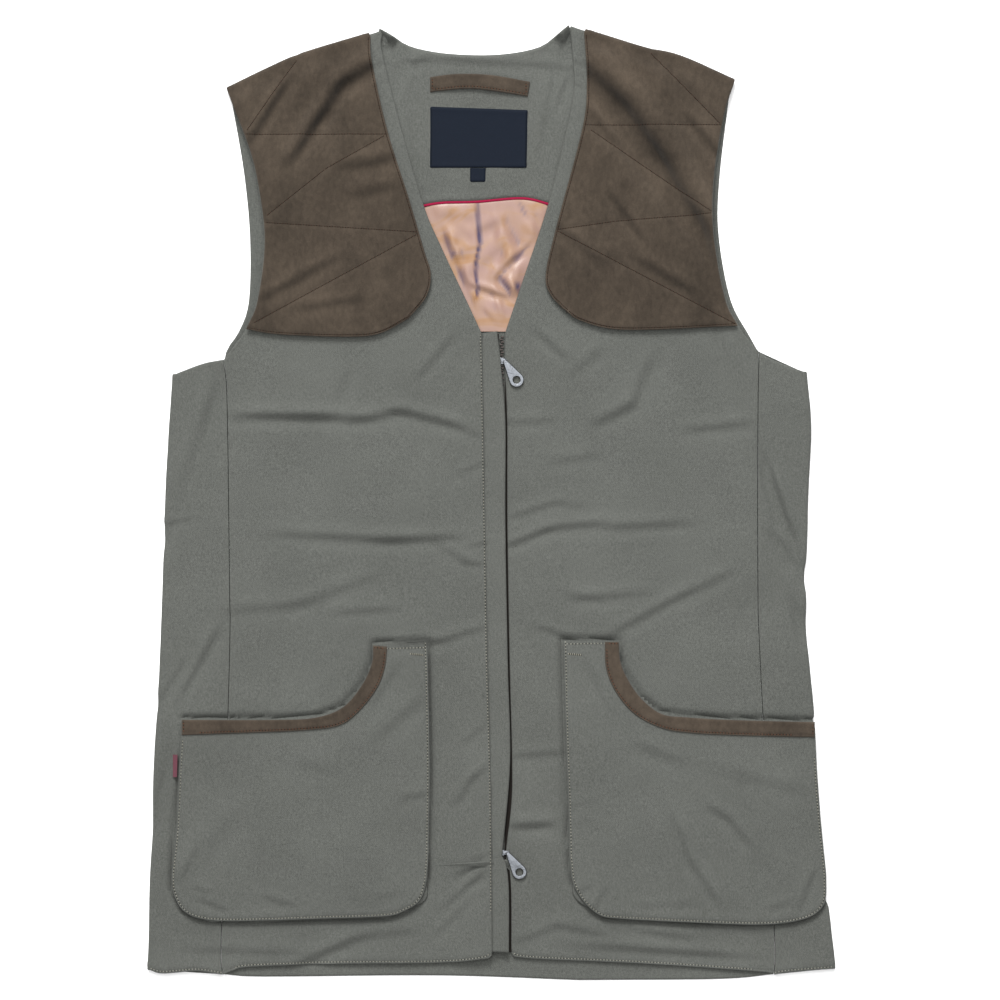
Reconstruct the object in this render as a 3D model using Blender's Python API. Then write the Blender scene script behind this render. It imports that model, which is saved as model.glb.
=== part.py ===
"""A shooting vest laid flat on its back, fronts up.

Sizes are in millimetres until a piece is finished, when it is scaled to metres.
"Across" runs from the centre front towards the wearer's left, and "level" is the
height above the lowest point of the hem. Each piece is a short set of edge tables
filled in as a smooth sheet, lifted to its layer, then given its cloth's thickness.
"""
import math
from collections import namedtuple

import bmesh
import bpy
from mathutils import Vector

MM = 0.001
LENGTH = 810.5            # hem to shoulder fold

# Walls of each cloth, and the gap that is kept between neighbours
SHELL_WALL = 1.5
SUEDE_WALL = 1.5
LINING_WALL = 1.0
BINDING_WALL = 1.2
GUSSET_WALL = 1.2
TAPE_WALL = 1.0
GAP = 0.3

# Upper faces of the layers, from the surface that the vest lies on
BACK_TOP = SHELL_WALL
INSIDE_TOP = BACK_TOP + GAP + LINING_WALL
FRONT_TOP = INSIDE_TOP + 0.6 + SHELL_WALL
PATCH_RISE = GAP + SUEDE_WALL
SHOULDER_RISE = 1.8       # fronts lift over their own seam behind the shoulder
SHOULDER_RISE_FROM = 60.0
SHOULDER_RISE_FULL = 8.0
SEAM_BEHIND_SHOULDER = 10.0
SEAM_SETBACK = 0.3
BACK_SEAM_GAP = 1.0
BEND_STEPS = 6

PATCH_BEND = (FRONT_TOP + SHOULDER_RISE + PATCH_RISE) / 2
OUTWARD_RIGHT = (-0.357, 0.934)     # square to each shoulder fold
OUTWARD_LEFT = (0.311, 0.950)

# Zip line, from the centre front
CHAIN_LEFT = 6.6
CHAIN_RIGHT = 11.2
CHAIN_TOP = INSIDE_TOP + 1.0
TAPE_RIGHT_EDGE = -10.0
TAPE_LEFT_EDGE = 26.0
ZIP_FOOT = 24.0
ZIP_HEAD = 549.0
FLY_WALL = 1.2
FLY_TOP = 6.2
PLACKET_TOP = FLY_TOP + 2 * GAP + SHELL_WALL
PLACKET_RAMP = 46.0
PLACKET_HALF = 16.0
PLACKET_HEAD = 600.0
PLACKET_FADE = 45.0
ZIP_MIDDLE = 4.0
FOLDS_FROM = 8.0
FOLDS_FULL = 26.0
ZIP_EDGE_TOP = 4.5

# Colour, roughness and metal of each cloth or metal
FINISHES = {
    "shell": ((0.168, 0.183, 0.160), 0.85, 0.0),
    "suede": ((0.088, 0.062, 0.047), 0.95, 0.0),
    "satin": ((0.600, 0.370, 0.260), 0.40, 0.0),
    "piping": ((0.350, 0.012, 0.055), 0.60, 0.0),
    "label": ((0.036, 0.048, 0.072), 0.70, 0.0),
    "tab": ((0.230, 0.080, 0.110), 0.70, 0.0),
    "zip": ((0.040, 0.028, 0.022), 0.60, 0.0),
    "nickel": ((0.560, 0.540, 0.510), 0.30, 1.0),
}

# Edge tables: (across, level) of each point that the edge's shape needs.
# A point given twice is a corner.
SEAM_RIGHT = [(-228, 9), (-229, 42), (-222, 272), (-222, 343), (-224, 489), (-227, 527)]
SEAM_LEFT = [(240, 8), (240, 46), (228, 272), (226, 343), (226, 470), (227, 534)]
FOLD_RIGHT = [(-292.4, 9), (-291, 38), (-288, 152), (-283, 243), (-279, 343), (-275, 442), (-270, 515)]
FOLD_LEFT = [(292.4, 10), (288, 51), (280, 129), (273, 232), (266.5, 315), (268, 398), (271, 468), (267, 517)]
SIDE_TOP_RIGHT = [(-268, 515), (-260, 518), (-243, 524), (-227, 527)]
SIDE_TOP_LEFT = [(227, 534), (232, 530), (243, 525), (265, 517)]
SIDE_HEM_RIGHT = [(-290, 9), (-279, 6), (-250, 8), (-228, 5)]
SIDE_HEM_LEFT = [(240, 5), (252, 7), (290, 10)]

ARMHOLE_RIGHT = [(-227, 527), (-219, 538), (-209, 552), (-199, 577), (-193, 627), (-198, 672),
                 (-206, 705), (-225, 758)]
ARMHOLE_LEFT = [(227, 534), (215, 548), (210, 556), (199, 579), (189, 635), (190, 683), (199, 737),
                (207, 765)]
BACK_ARMHOLE_RIGHT = [(-227, 527), (-224, 537), (-214, 552), (-206, 577), (-205, 630), (-210, 685),
                      (-225, 758)]
BACK_ARMHOLE_LEFT = [(227, 534), (219, 548), (203, 579), (193, 635), (194, 683), (203, 737),
                     (207, 765)]
SHOULDER_RIGHT = [(-225, 758), (-192, 774), (-160, 788), (-104, 805), (-94, 808)]
SHOULDER_LEFT = [(68, 812.2), (80, 808), (129, 793), (160, 786), (207, 765)]
NECK_RIGHT = [(-8, 549), (-21, 577), (-44, 626), (-57, 657), (-75, 719), (-92, 786), (-92.5, 804)]
NECK_LEFT = [(11.5, 549), (26, 592), (48, 658), (63, 719), (70, 755), (69, 785), (66.7, 808.3)]
PLACKET_RIGHT = [(1, 22), (0, 158), (-3, 272), (-5, 387), (-8, 549)]
ZIP_EDGE_LEFT = [(16, 22), (11.5, 100), (11.5, 100), (11.5, 549)]
HEM_RIGHT = [(-228, 9), (-136, 14), (-44, 15), (1, 22)]
HEM_LEFT = [(16, 22), (52, 18), (134, 14), (240, 8)]
BACK_HEM = [(-228, 5), (-193, 3), (-44, 4), (75, 0), (75, 0), (194, 1), (240, 5)]
BACK_NECK = [(-85, 803), (-73, 795), (-56, 789), (-7, 786), (41, 793), (64, 808)]

FLY_EDGE = [(15, 24), (15, 75), (13, 97), (9.8, 105), (9.8, 112), (16, 186), (14, 272), (12, 389),
            (12, 475), (8.4, 520), (7.6, 530), (5, 551)]
FLY_HIDDEN_EDGE = [(-8, 25), (-8, 158), (-10, 387), (-11.5, 549)]

PATCH_INNER_RIGHT = [(-70, 561.5), (-55, 580), (-51, 599), (-57, 620), (-70, 664), (-88, 721), (-101, 779),
                     (-104, 805)]
PATCH_FOOT_RIGHT = [(-209, 552.5), (-179, 548), (-120, 546), (-94, 549), (-70, 561.5)]
PATCH_INNER_LEFT = [(64, 567), (50, 582), (46, 599), (55, 639), (77, 722), (81, 760), (80, 808)]
PATCH_FOOT_LEFT = [(64, 567), (75, 560), (100, 553), (135, 552), (209, 555.5)]
QUILT_REACH = 5.0
QUILT_DEPTH = 0.7
QUILT_MERGE = 0.9

QuiltLine = namedtuple("QuiltLine", "from_across from_level to_across to_level")
QUILT_RIGHT = [
    QuiltLine(-160, 788, -207, 721),
    QuiltLine(-209, 718, -89, 718),
    QuiltLine(-90, 717, -141, 688),
    QuiltLine(-141, 688, -190, 649),
    QuiltLine(-192, 643, -63, 635),
    QuiltLine(-63, 633, -201, 558),
]
QUILT_LEFT = [
    QuiltLine(129, 793, 194, 727),
    QuiltLine(79, 726, 196, 726),
    QuiltLine(84, 722, 188, 651),
    QuiltLine(56, 637, 105, 644),
    QuiltLine(105, 644, 188, 651),
    QuiltLine(56, 636, 207, 557),
]

# Faces across and up each sheet, enough for its edges' curves and its soft folds
Grid = namedtuple("Grid", "columns rows")
GRIDS = {
    "back": Grid(15, 16),
    "side": Grid(4, 18),
    "front": Grid(13, 32),
    "fly_flap": Grid(2, 36),
    "zip": Grid(1, 2),
    "patch": Grid(9, 14),
    "pocket_gusset": Grid(44, 1),
    "pocket_face": Grid(15, 11),
    "pocket_binding": Grid(22, 2),
    "pocket_tab": Grid(1, 2),
    "back_facing": Grid(12, 4),
    "piping": Grid(12, 1),
    "lining": Grid(18, 10),
    "hanging_loop": Grid(14, 2),
    "label": Grid(4, 3),
    "size_tab": Grid(1, 1),
}
RUN_FINENESS = 10         # points between two rows of an edge table
SHARP_FROM = 35.0
ON_FOLD = 0.5

# Soft folds of the fronts and sides: a negative rise is a trough
Fold = namedtuple("Fold", "across level turn half_length half_width rise")
BODY_FOLDS = [
    Fold(-130, 476, -3, 95, 13, -1.3),
    Fold(-110, 500, -3, 80, 14, 1.3),
    Fold(-40, 463, -12, 45, 9, -1.1),
    Fold(-100, 368, 4, 90, 14, -1.0),
    Fold(-70, 345, 6, 70, 12, 1.2),
    Fold(-100, 310, -2, 34, 6, -1.0),
    Fold(-18, 437, -20, 16, 5, -1.0),
    Fold(-22, 365, -35, 22, 6, 1.0),
    Fold(-14, 105, 20, 18, 6, 1.0),
    Fold(48, 382, 32, 40, 12, 1.4),
    Fold(60, 352, 20, 34, 10, -1.1),
    Fold(112, 488, -60, 26, 9, 1.0),
    Fold(150, 430, -72, 70, 18, 1.1),
    Fold(246, 400, -68, 46, 9, -0.9),
    Fold(236, 372, -62, 40, 9, 0.9),
    Fold(-250, 262, 78, 40, 9, -0.8),
    Fold(-60, 190, 86, 60, 9, 0.9),
    Fold(150, 312, -8, 52, 9, 1.0),
]
LINING_FOLDS = [
    Fold(-12, 600, 90, 66, 3.0, 1.2),
    Fold(-30, 628, 64, 26, 6, 1.5),
    Fold(12, 620, -72, 36, 6, 2.0),
    Fold(26, 640, -60, 22, 5, -0.8),
    Fold(4, 580, -78, 30, 5, 1.4),
]

# Cargo pockets: foot, sides and the scooped opening with its binding
GUSSET_SHOWS = 1.5
GUSSET_WIDTH = 14.0
POCKETS = {
    "right": {
        "foot": [(-271, 90), (-270, 77), (-262, 61), (-246, 53), (-216, 51), (-148, 53), (-91, 55), (-75, 59),
                 (-61, 68), (-55, 84), (-53, 106)],
        "outer": [(-271, 90), (-267, 129), (-264, 186), (-262, 222)],
        "inner": [(-53, 106), (-52, 175), (-53, 243), (-54, 288)],
        "scoop": [(-262, 222), (-182, 222), (-148, 224), (-125, 233), (-109, 252), (-101, 270), (-100, 285)],
        "top": [(-100, 285), (-54, 288)],
        "bound_to": [(-262, 209), (-205, 211), (-159, 213), (-129, 217), (-112, 229), (-97, 248), (-90, 266),
                     (-88, 284)],
    },
    "left": {
        "foot": [(66, 106), (69, 84), (78, 68), (92, 56), (110, 53), (167, 50), (223, 48), (253, 50),
                 (273, 56), (283, 68), (284, 90)],
        "outer": [(284, 90), (280, 129), (277, 163), (274, 220)],
        "inner": [(66, 106), (65, 152), (63, 209), (61, 289)],
        "scoop": [(108, 288), (109, 273), (114, 259), (126, 241), (144, 227), (167, 224), (201, 222),
                  (274, 220)],
        "top": [(61, 289), (108, 288)],
        "bound_to": [(96, 288), (97, 266), (105, 246), (121, 227), (144, 215), (167, 211), (201, 209),
                     (274, 207)],
    },
}

# Inside the neck
PIPING_LINE = [(-70, 655), (-44, 660), (-13, 661), (26, 664), (49, 659), (62, 655)]
PIPING_HALF = 1.25
FACING_HEAD = [(-95, 778), (-83, 800), (-83, 800), (-73, 793.5), (-56, 787.5), (-7, 784.5), (41, 791.5),
               (60, 803), (60, 803), (74, 776)]
FACING_WEST = [(-70, 656.5), (-95, 778)]
FACING_EAST = [(62, 656.5), (74, 776)]
LINING_FOOT = [(-24, 551), (30, 551)]
NECK_POINT = 549.0
V_HALF = 9.0
V_SPREAD = 0.40
V_LEAN = 0.06
LINING_HELD = 2.0         # the satin lies flat this near the neck's edges, and rises from there
LINING_FREE = 12.0
LINING_RISE_FROM = 8.0    # above the neck's point
LINING_RISE_FULL = 30.0
LOOP_FOOT = [(-52, 754), (-45, 755), (-18, 757), (9, 754), (31, 750.5)]
LOOP_HEAD = [(-52, 767), (-29, 769.5), (0, 768.5), (33, 763)]
LOOP_STANDS_OFF = 2.2
LABEL_FOOT = [(-52, 690), (30, 690)]
LABEL_HEAD = [(-52, 742), (31, 739)]
TAB_FOOT = [(-18, 678), (-5, 678)]
TAB_HEAD = [(-18, 689.7), (-4.5, 689.7)]
POCKET_TAB_FOOT = [(-270, 173), (-266.5, 173)]
POCKET_TAB_HEAD = [(-270, 192), (-266, 192)]
FRONT_SHOWS_AT_ARMHOLE = 1.2
QUILT_CELL = 17.0

# Slider and pull tab, from the tab's hinge
PULL_TURN = -58.0
PULL_REACH = 19.0
PULL_RING = 6.8
PULL_HOLE = 3.2
PULL_NECK = 1.5
PULL_HEEL = 0.4
PULL_WALL = 1.2
RING_STEPS = 20
SLIDER_LONG = 6.0
LUG_WALL = 0.6
LUG_LONG = 1.6
LUG_GAP = 0.6
Slider = namedtuple("Slider", "name hinge_across hinge_level chain_side_lug_on_arm")
SLIDERS = [Slider("top", 11.4, 526.0, False), Slider("bottom", 13.8, 108.5, True)]
CHAIN_SPANS = [("_head", 529.3, ZIP_HEAD), ("", 111.8, 522.7), ("_foot", ZIP_FOOT, 105.2)]
SLIDER_TOP = FLY_TOP - FLY_WALL - GAP
ARM_FOOT = ZIP_EDGE_TOP + GAP
ARM_TOP = ARM_FOOT + 0.7
ARM_WEST = 10.7
ARM_REACH = 2.6
HINGE_HEIGHT = ARM_TOP + GAP + PULL_WALL / 2
LUG_TOP = HINGE_HEIGHT + 0.5


def clear_scene():
    for old in list(bpy.data.objects):
        bpy.data.objects.remove(old, do_unlink=True)


def make_collection(name):
    collection = bpy.data.collections.new(name)
    bpy.context.scene.collection.children.link(collection)
    return collection


def make_finish(name):
    colour, roughness, metallic = FINISHES[name]
    material = bpy.data.materials.new(name)
    material.use_nodes = True
    shader = material.node_tree.nodes["Principled BSDF"]
    shader.inputs["Base Color"].default_value = (*colour, 1.0)
    shader.inputs["Roughness"].default_value = roughness
    shader.inputs["Metallic"].default_value = metallic
    return material


def ramp(value, start, end):
    """Smooth step from 0 at start to 1 at end."""
    share = min(max((value - start) / (end - start), 0.0), 1.0)
    return share * share * (3.0 - 2.0 * share)


def smooth_run(rows):
    """Close points on a smooth curve through the rows."""
    points = [Vector(row) for row in rows]
    points = [2 * points[0] - points[1]] + points + [2 * points[-1] - points[-2]]
    run = []
    for a, b, c, d in zip(points, points[1:], points[2:], points[3:]):
        for step in range(RUN_FINENESS):
            t = step / RUN_FINENESS
            run.append(0.5 * (2 * b + (c - a) * t + (2 * a - 5 * b + 4 * c - d) * t * t
                              + (3 * b - a - 3 * c + d) * t * t * t))
    return run + [points[-2]]


def spaced(run, count):
    """count + 1 points, evenly spaced by length along a run."""
    reach = [0.0]
    for a, b in zip(run, run[1:]):
        reach.append(reach[-1] + (b - a).length)
    result = []
    span = 0
    for step in range(count + 1):
        target = reach[-1] * step / count
        while span < len(run) - 2 and reach[span + 1] < target:
            span += 1
        share = (target - reach[span]) / max(reach[span + 1] - reach[span], 1e-9)
        result.append(run[span].lerp(run[span + 1], min(share, 1.0)))
    return result


def edge(rows, count):
    """An edge table as count + 1 points, with a twice-given row kept as a corner."""
    parts = [[rows[0]]]
    for row in rows[1:]:
        if row == parts[-1][-1]:
            parts.append([row])
        else:
            parts[-1].append(row)
    runs = [smooth_run(part) for part in parts]
    sizes = [sum((b - a).length for a, b in zip(run, run[1:])) for run in runs]
    result = [Vector(rows[0])]
    used = 0
    for index, run in enumerate(runs):
        last = index == len(runs) - 1
        steps = count - used if last else max(1, round(count * sizes[index] / sum(sizes)))
        result += spaced(run, steps)[1:]
        used += steps
    return result


def shifted(rows, across=0.0, level=0.0):
    return [(row[0] + across, row[1] + level) for row in rows]


def body_folds(across, level, folds=BODY_FOLDS):
    """Height of the soft folds at a place on the cloth."""
    height = 0.0
    for fold in folds:
        turn = math.radians(fold.turn)
        offset = Vector((across - fold.across, level - fold.level))
        length = offset.x * math.cos(turn) + offset.y * math.sin(turn)
        width = offset.y * math.cos(turn) - offset.x * math.sin(turn)
        height += fold.rise * math.exp(-(length / fold.half_length) ** 2 - (width / fold.half_width) ** 2)
    return height


def shoulder_level(across):
    """Level of the shoulder fold above a place."""
    if across < 0:
        tip, neck = Vector(SHOULDER_RIGHT[0]), Vector(SHOULDER_RIGHT[-1])
    else:
        tip, neck = Vector(SHOULDER_LEFT[-1]), Vector(SHOULDER_LEFT[0])
    share = (across - tip.x) / (neck.x - tip.x)
    return tip.y + (neck.y - tip.y) * min(max(share, 0.0), 1.0)


def front_top(across, level):
    """Upper face of the fronts and sides: layers below them, soft folds and the placket's rise."""
    from_zip = abs(across - ZIP_MIDDLE)
    height = FRONT_TOP + body_folds(across, level) * ramp(from_zip, FOLDS_FROM, FOLDS_FULL)
    height += SHOULDER_RISE * ramp(level - shoulder_level(across), -SHOULDER_RISE_FROM, -SHOULDER_RISE_FULL)
    rise = PLACKET_TOP - FRONT_TOP if across < ZIP_MIDDLE else ZIP_EDGE_TOP - FRONT_TOP
    near_zip = ramp(PLACKET_RAMP - from_zip, 0.0, PLACKET_RAMP - PLACKET_HALF)
    return height + rise * near_zip * ramp(PLACKET_HEAD - level, 0.0, PLACKET_FADE)


def fly_top(across, level):
    """Upper face of the flap: just below the right front, and level beyond its edge."""
    return front_top(min(across, 0.0), level) - SHELL_WALL - 2 * GAP


def inside_top(across, level):
    return INSIDE_TOP


def lining_top(across, level):
    """The satin rises in folds only where the V neck leaves it free."""
    above = level - NECK_POINT
    from_edge = V_HALF + above * V_SPREAD - abs(across - ZIP_MIDDLE + above * V_LEAN)
    free = ramp(from_edge, LINING_HELD, LINING_FREE) * ramp(above, LINING_RISE_FROM, LINING_RISE_FULL)
    return INSIDE_TOP + free * max(body_folds(across, level, LINING_FOLDS), 0.0)


def loop_top(across, level):
    """The hanging loop stands off the facing between its sewn ends."""
    middle = (LOOP_FOOT[0][0] + LOOP_FOOT[-1][0]) / 2
    half = (LOOP_FOOT[-1][0] - LOOP_FOOT[0][0]) / 2
    share = (across - middle) / half
    return INSIDE_TOP + GAP + SUEDE_WALL + LOOP_STANDS_OFF * max(1.0 - share * share, 0.0)


def above_front(rise):
    """A lift that follows the fronts, a given rise above them."""
    return lambda across, level: front_top(across, level) + rise


def at_height(height):
    return lambda across, level: height


def inset(rows, outward, distance):
    return [tuple(Vector(row) - Vector(outward) * distance) for row in rows]


def beside(points, distance):
    """A run of points moved to the right of its own direction."""
    moved = []
    for index, point in enumerate(points):
        ahead = points[min(index + 1, len(points) - 1)] - points[max(index - 1, 0)]
        moved.append(point + Vector((ahead.y, -ahead.x)).normalized() * distance)
    return moved


def sheet_surface(foot, head, west, east, grid, lift):
    """An open cloth surface between four edge tables, lifted to its layer's height."""
    columns, rows = grid
    foot, head = edge(foot, columns), edge(head, columns)
    west, east = edge(west, rows), edge(east, rows)
    for border, near, far in ((foot, west[0], east[0]), (head, west[-1], east[-1])):
        border[0].x, border[-1].x = near.x, far.x
        near.y, far.y = border[0].y, border[-1].y
    surface = bmesh.new()
    bmesh.ops.create_grid(surface, x_segments=columns, y_segments=rows, size=0.5)
    borders = {"west": {}, "east": {}, "head": {}}
    for vert in surface.verts:
        u, v = vert.co.x + 0.5, vert.co.y + 0.5
        i, j = round(u * columns), round(v * rows)
        place = foot[i] * (1 - v) + head[i] * v + west[j] * (1 - u) + east[j] * u
        place -= (foot[0] * (1 - u) + foot[-1] * u) * (1 - v) + (head[0] * (1 - u) + head[-1] * u) * v
        vert.co = (place.x, place.y, lift(place.x, place.y))
        if i == 0:
            borders["west"][j] = vert
        if i == columns:
            borders["east"][j] = vert
        if j == rows:
            borders["head"][i] = vert
    return surface, borders


def fold_under(surface, line, ends, outward, lowest):
    """Carry a sheet's edge round a half-circle bend, then back beneath it to the given ends."""
    bases = {vert: (vert.co.copy(), end) for vert, end in zip(line, ends)}
    turns = [math.pi * step / BEND_STEPS for step in range(1, BEND_STEPS + 1)]
    rows = [(math.sin(turn), (1 - math.cos(turn)) / 2, 0.0) for turn in turns] + [(0.0, 1.0, 1.0)]
    for out, down, back in rows:
        edges = [item for item in surface.edges
                 if item.is_boundary and all(vert in bases for vert in item.verts)]
        made = bmesh.ops.extrude_edge_only(surface, edges=edges)["geom"]
        fresh = {}
        for vert in [item for item in made if isinstance(item, bmesh.types.BMVert)]:
            source = next(item.other_vert(vert) for item in vert.link_edges if item.other_vert(vert) in bases)
            fresh[vert] = bases[source]
        for vert, (base, end) in fresh.items():
            depth = base.z - lowest
            place = base.xy.lerp(end, back) + Vector(outward) * (depth / 2 * out)
            vert.co = (place.x, place.y, base.z - depth * down)
        bases = fresh
    bmesh.ops.recalc_face_normals(surface, faces=surface.faces)


def line_distance(place, line):
    """Distance on the flat from a place to a quilting line."""
    start = Vector((line.from_across, line.from_level))
    run = Vector((line.to_across, line.to_level)) - start
    share = min(max((place - start).dot(run) / run.length_squared, 0.0), 1.0)
    return (place - start - run * share).length


def cut_quilting(surface, lines):
    """Cut the sheet along each quilting line and along both sides of its groove."""
    for line in lines:
        start = Vector((line.from_across, line.from_level, 0.0))
        run = Vector((line.to_across, line.to_level, 0.0)) - start
        across = Vector((-run.y, run.x, 0.0)).normalized()
        for offset in (-QUILT_REACH, 0.0, QUILT_REACH):
            near = [face for face in surface.faces
                    if min(line_distance(vert.co.xy, line) for vert in face.verts) < QUILT_CELL]
            parts = near + list(dict.fromkeys(item for face in near for item in face.edges))
            parts += list(dict.fromkeys(item for face in near for item in face.verts))
            bmesh.ops.bisect_plane(surface, geom=parts, plane_co=start + across * offset, plane_no=across,
                                   dist=QUILT_MERGE / 3)
    bmesh.ops.remove_doubles(surface, verts=surface.verts, dist=QUILT_MERGE)


def quilt_groove(lines):
    """How far the suede's outer points sink near the quilting, over a plain inside."""
    def groove(vert):
        distance = min(line_distance(vert.co.xy, line) for line in lines)
        return QUILT_DEPTH * ramp(QUILT_REACH - distance, 0.0, QUILT_REACH) if vert.co.z > FRONT_TOP else 0.0
    return groove


def finish_piece(surface, name, wall, finish, collection, groove=None):
    """Give the surface its wall, scale it to metres and make it an object."""
    tops = list(surface.verts)
    if max(surface.faces, key=lambda face: face.calc_center_median().z).normal.z < 0:
        bmesh.ops.reverse_faces(surface, faces=surface.faces)
    bmesh.ops.solidify(surface, geom=surface.faces[:] + surface.edges[:] + tops, thickness=wall)
    if groove:
        for vert in tops:
            vert.co.z -= groove(vert)
    bmesh.ops.translate(surface, verts=surface.verts, vec=(0, -LENGTH / 2, 0))
    bmesh.ops.scale(surface, verts=surface.verts, vec=(MM, MM, MM))
    mesh = bpy.data.meshes.new(name)
    surface.to_mesh(mesh)
    surface.free()
    mesh.materials.append(make_finish(finish))
    mesh.shade_smooth()
    mesh.set_sharp_from_angle(angle=math.radians(SHARP_FROM))
    piece = bpy.data.objects.new(name, mesh)
    collection.objects.link(piece)
    return piece


def make_back(vest):
    """The back, flat on its outer side, ending at the seam behind each shoulder."""
    behind = PATCH_BEND + SEAM_BEHIND_SHOULDER + BACK_SEAM_GAP
    right = inset(SHOULDER_RIGHT[:4], OUTWARD_RIGHT, behind)
    left = inset(SHOULDER_LEFT[1:], OUTWARD_LEFT, behind)
    head = right + [right[-1], BACK_NECK[0]] + BACK_NECK + [BACK_NECK[-1], left[0]] + left
    seam_right, seam_left = shifted(SEAM_RIGHT, BACK_SEAM_GAP), shifted(SEAM_LEFT, -BACK_SEAM_GAP)
    west = seam_right + seam_right[-1:] + BACK_ARMHOLE_RIGHT[1:-1] + [right[0]]
    east = seam_left + seam_left[-1:] + BACK_ARMHOLE_LEFT[1:-1] + [left[-1]]
    surface, _ = sheet_surface(BACK_HEM, head, west, east, GRIDS["back"], at_height(BACK_TOP))
    finish_piece(surface, "back", SHELL_WALL, "shell", vest)


def make_side(vest, name, foot, head, west, east, fold_side):
    """An under-arm panel, from the front seam round the side fold to the back seam."""
    surface, borders = sheet_surface(foot, head, west, east, GRIDS["side"], front_top)
    seam_side = "east" if fold_side == "west" else "west"
    line = list(borders[fold_side].values())
    ends = [borders[seam_side][row].co.xy.copy() for row in borders[fold_side]]
    outward = (-1, 0) if fold_side == "west" else (1, 0)
    fold_under(surface, line, ends, outward, 0.0)
    finish_piece(surface, name, SHELL_WALL, "shell", vest)


def make_front(vest, name, foot, head, west, east, outward):
    """A front with its neck strip, folded over the shoulder to the seam behind."""
    head = inset(head, outward, PATCH_BEND)
    west, east = west[:-1] + [head[0]], east[:-1] + [head[-1]]
    surface, borders = sheet_surface(foot, head, west, east, GRIDS["front"], front_top)
    line = list(borders["head"].values())
    ends = [vert.co.xy - Vector(outward) * SEAM_BEHIND_SHOULDER for vert in line]
    fold_under(surface, line, ends, outward, PATCH_RISE)
    finish_piece(surface, name, SHELL_WALL, "shell", vest)


def make_patch(vest, name, foot, head, west, east, outward, quilting):
    """A quilted suede patch over the front, carried round the shoulder fold."""
    head = inset(head, outward, PATCH_BEND)
    west, east = west[:-1] + [head[0]], east[:-1] + [head[-1]]
    surface, borders = sheet_surface(foot, head, west, east, GRIDS["patch"], above_front(PATCH_RISE))
    cut_quilting(surface, quilting)
    fold = edge(head, GRIDS["patch"].columns)
    line = [vert for vert in surface.verts if vert.is_boundary and off_line(vert.co.xy, fold) < ON_FOLD]
    ends = [vert.co.xy - Vector(outward) * SEAM_BEHIND_SHOULDER for vert in line]
    fold_under(surface, line, ends, outward, 0.0)
    finish_piece(surface, name, SUEDE_WALL, "suede", vest, quilt_groove(quilting))


def off_line(place, points):
    """Distance from a place to the nearest stretch of a run of points."""
    spans = [QuiltLine(*a, *b) for a, b in zip(points, points[1:])]
    return min(line_distance(place, span) for span in spans)


def make_zip(vest):
    """Tapes and chain of the two-way zip, on the lining's level under the flap."""
    strips = [
        ("zip_tape_right", TAPE_RIGHT_EDGE, CHAIN_LEFT - GAP, INSIDE_TOP, TAPE_WALL),
        ("zip_tape_left", CHAIN_RIGHT + GAP, TAPE_LEFT_EDGE, INSIDE_TOP, TAPE_WALL),
        ("zip_chain", CHAIN_LEFT, CHAIN_RIGHT, CHAIN_TOP, CHAIN_TOP - BACK_TOP - GAP),
    ]
    for name, west, east, top, wall in strips:
        spans = CHAIN_SPANS if name == "zip_chain" else [("", ZIP_FOOT, ZIP_HEAD)]
        for suffix, foot, head in spans:
            surface, _ = sheet_surface([(west, foot), (east, foot)], [(west, head), (east, head)],
                                       [(west, foot), (west, head)], [(east, foot), (east, head)],
                                       GRIDS["zip"], at_height(top))
            finish_piece(surface, name + suffix, wall, "zip", vest)


def make_pocket(vest, side, table):
    """Bellows band, face with its scooped opening, and the suede binding."""
    start, end = ("outer", "inner") if side == "right" else ("inner", "outer")
    path = edge(table[start][::-1] + table["foot"][1:-1] + table[end], GRIDS["pocket_gusset"].columns)
    outside, inside = beside(path, GUSSET_SHOWS), beside(path, GUSSET_SHOWS - GUSSET_WIDTH)
    gusset_rise = GAP + GUSSET_WALL
    surface, _ = sheet_surface(outside, inside, [outside[0], inside[0]], [outside[-1], inside[-1]],
                               GRIDS["pocket_gusset"], above_front(gusset_rise))
    finish_piece(surface, f"pocket_gusset_{side}", GUSSET_WALL, "shell", vest)
    face_rise = gusset_rise + GAP + SHELL_WALL
    head = table["scoop"] + table["top"] if side == "right" else table["top"] + table["scoop"]
    surface, _ = sheet_surface(table["foot"], head, table[start], table[end], GRIDS["pocket_face"],
                               above_front(face_rise))
    finish_piece(surface, f"pocket_face_{side}", SHELL_WALL, "shell", vest)
    foot, head = table["bound_to"], table["scoop"]
    surface, _ = sheet_surface(foot, head, [foot[0], head[0]], [foot[-1], head[-1]],
                               GRIDS["pocket_binding"], above_front(face_rise + GAP + BINDING_WALL))
    finish_piece(surface, f"pocket_binding_{side}", BINDING_WALL, "suede", vest)


def plain_sheet(vest, name, foot, head, lift, wall, finish):
    """A piece whose short sides are straight."""
    surface, _ = sheet_surface(foot, head, [foot[0], head[0]], [foot[-1], head[-1]], GRIDS[name], lift)
    finish_piece(surface, name, wall, finish, vest)


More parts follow.
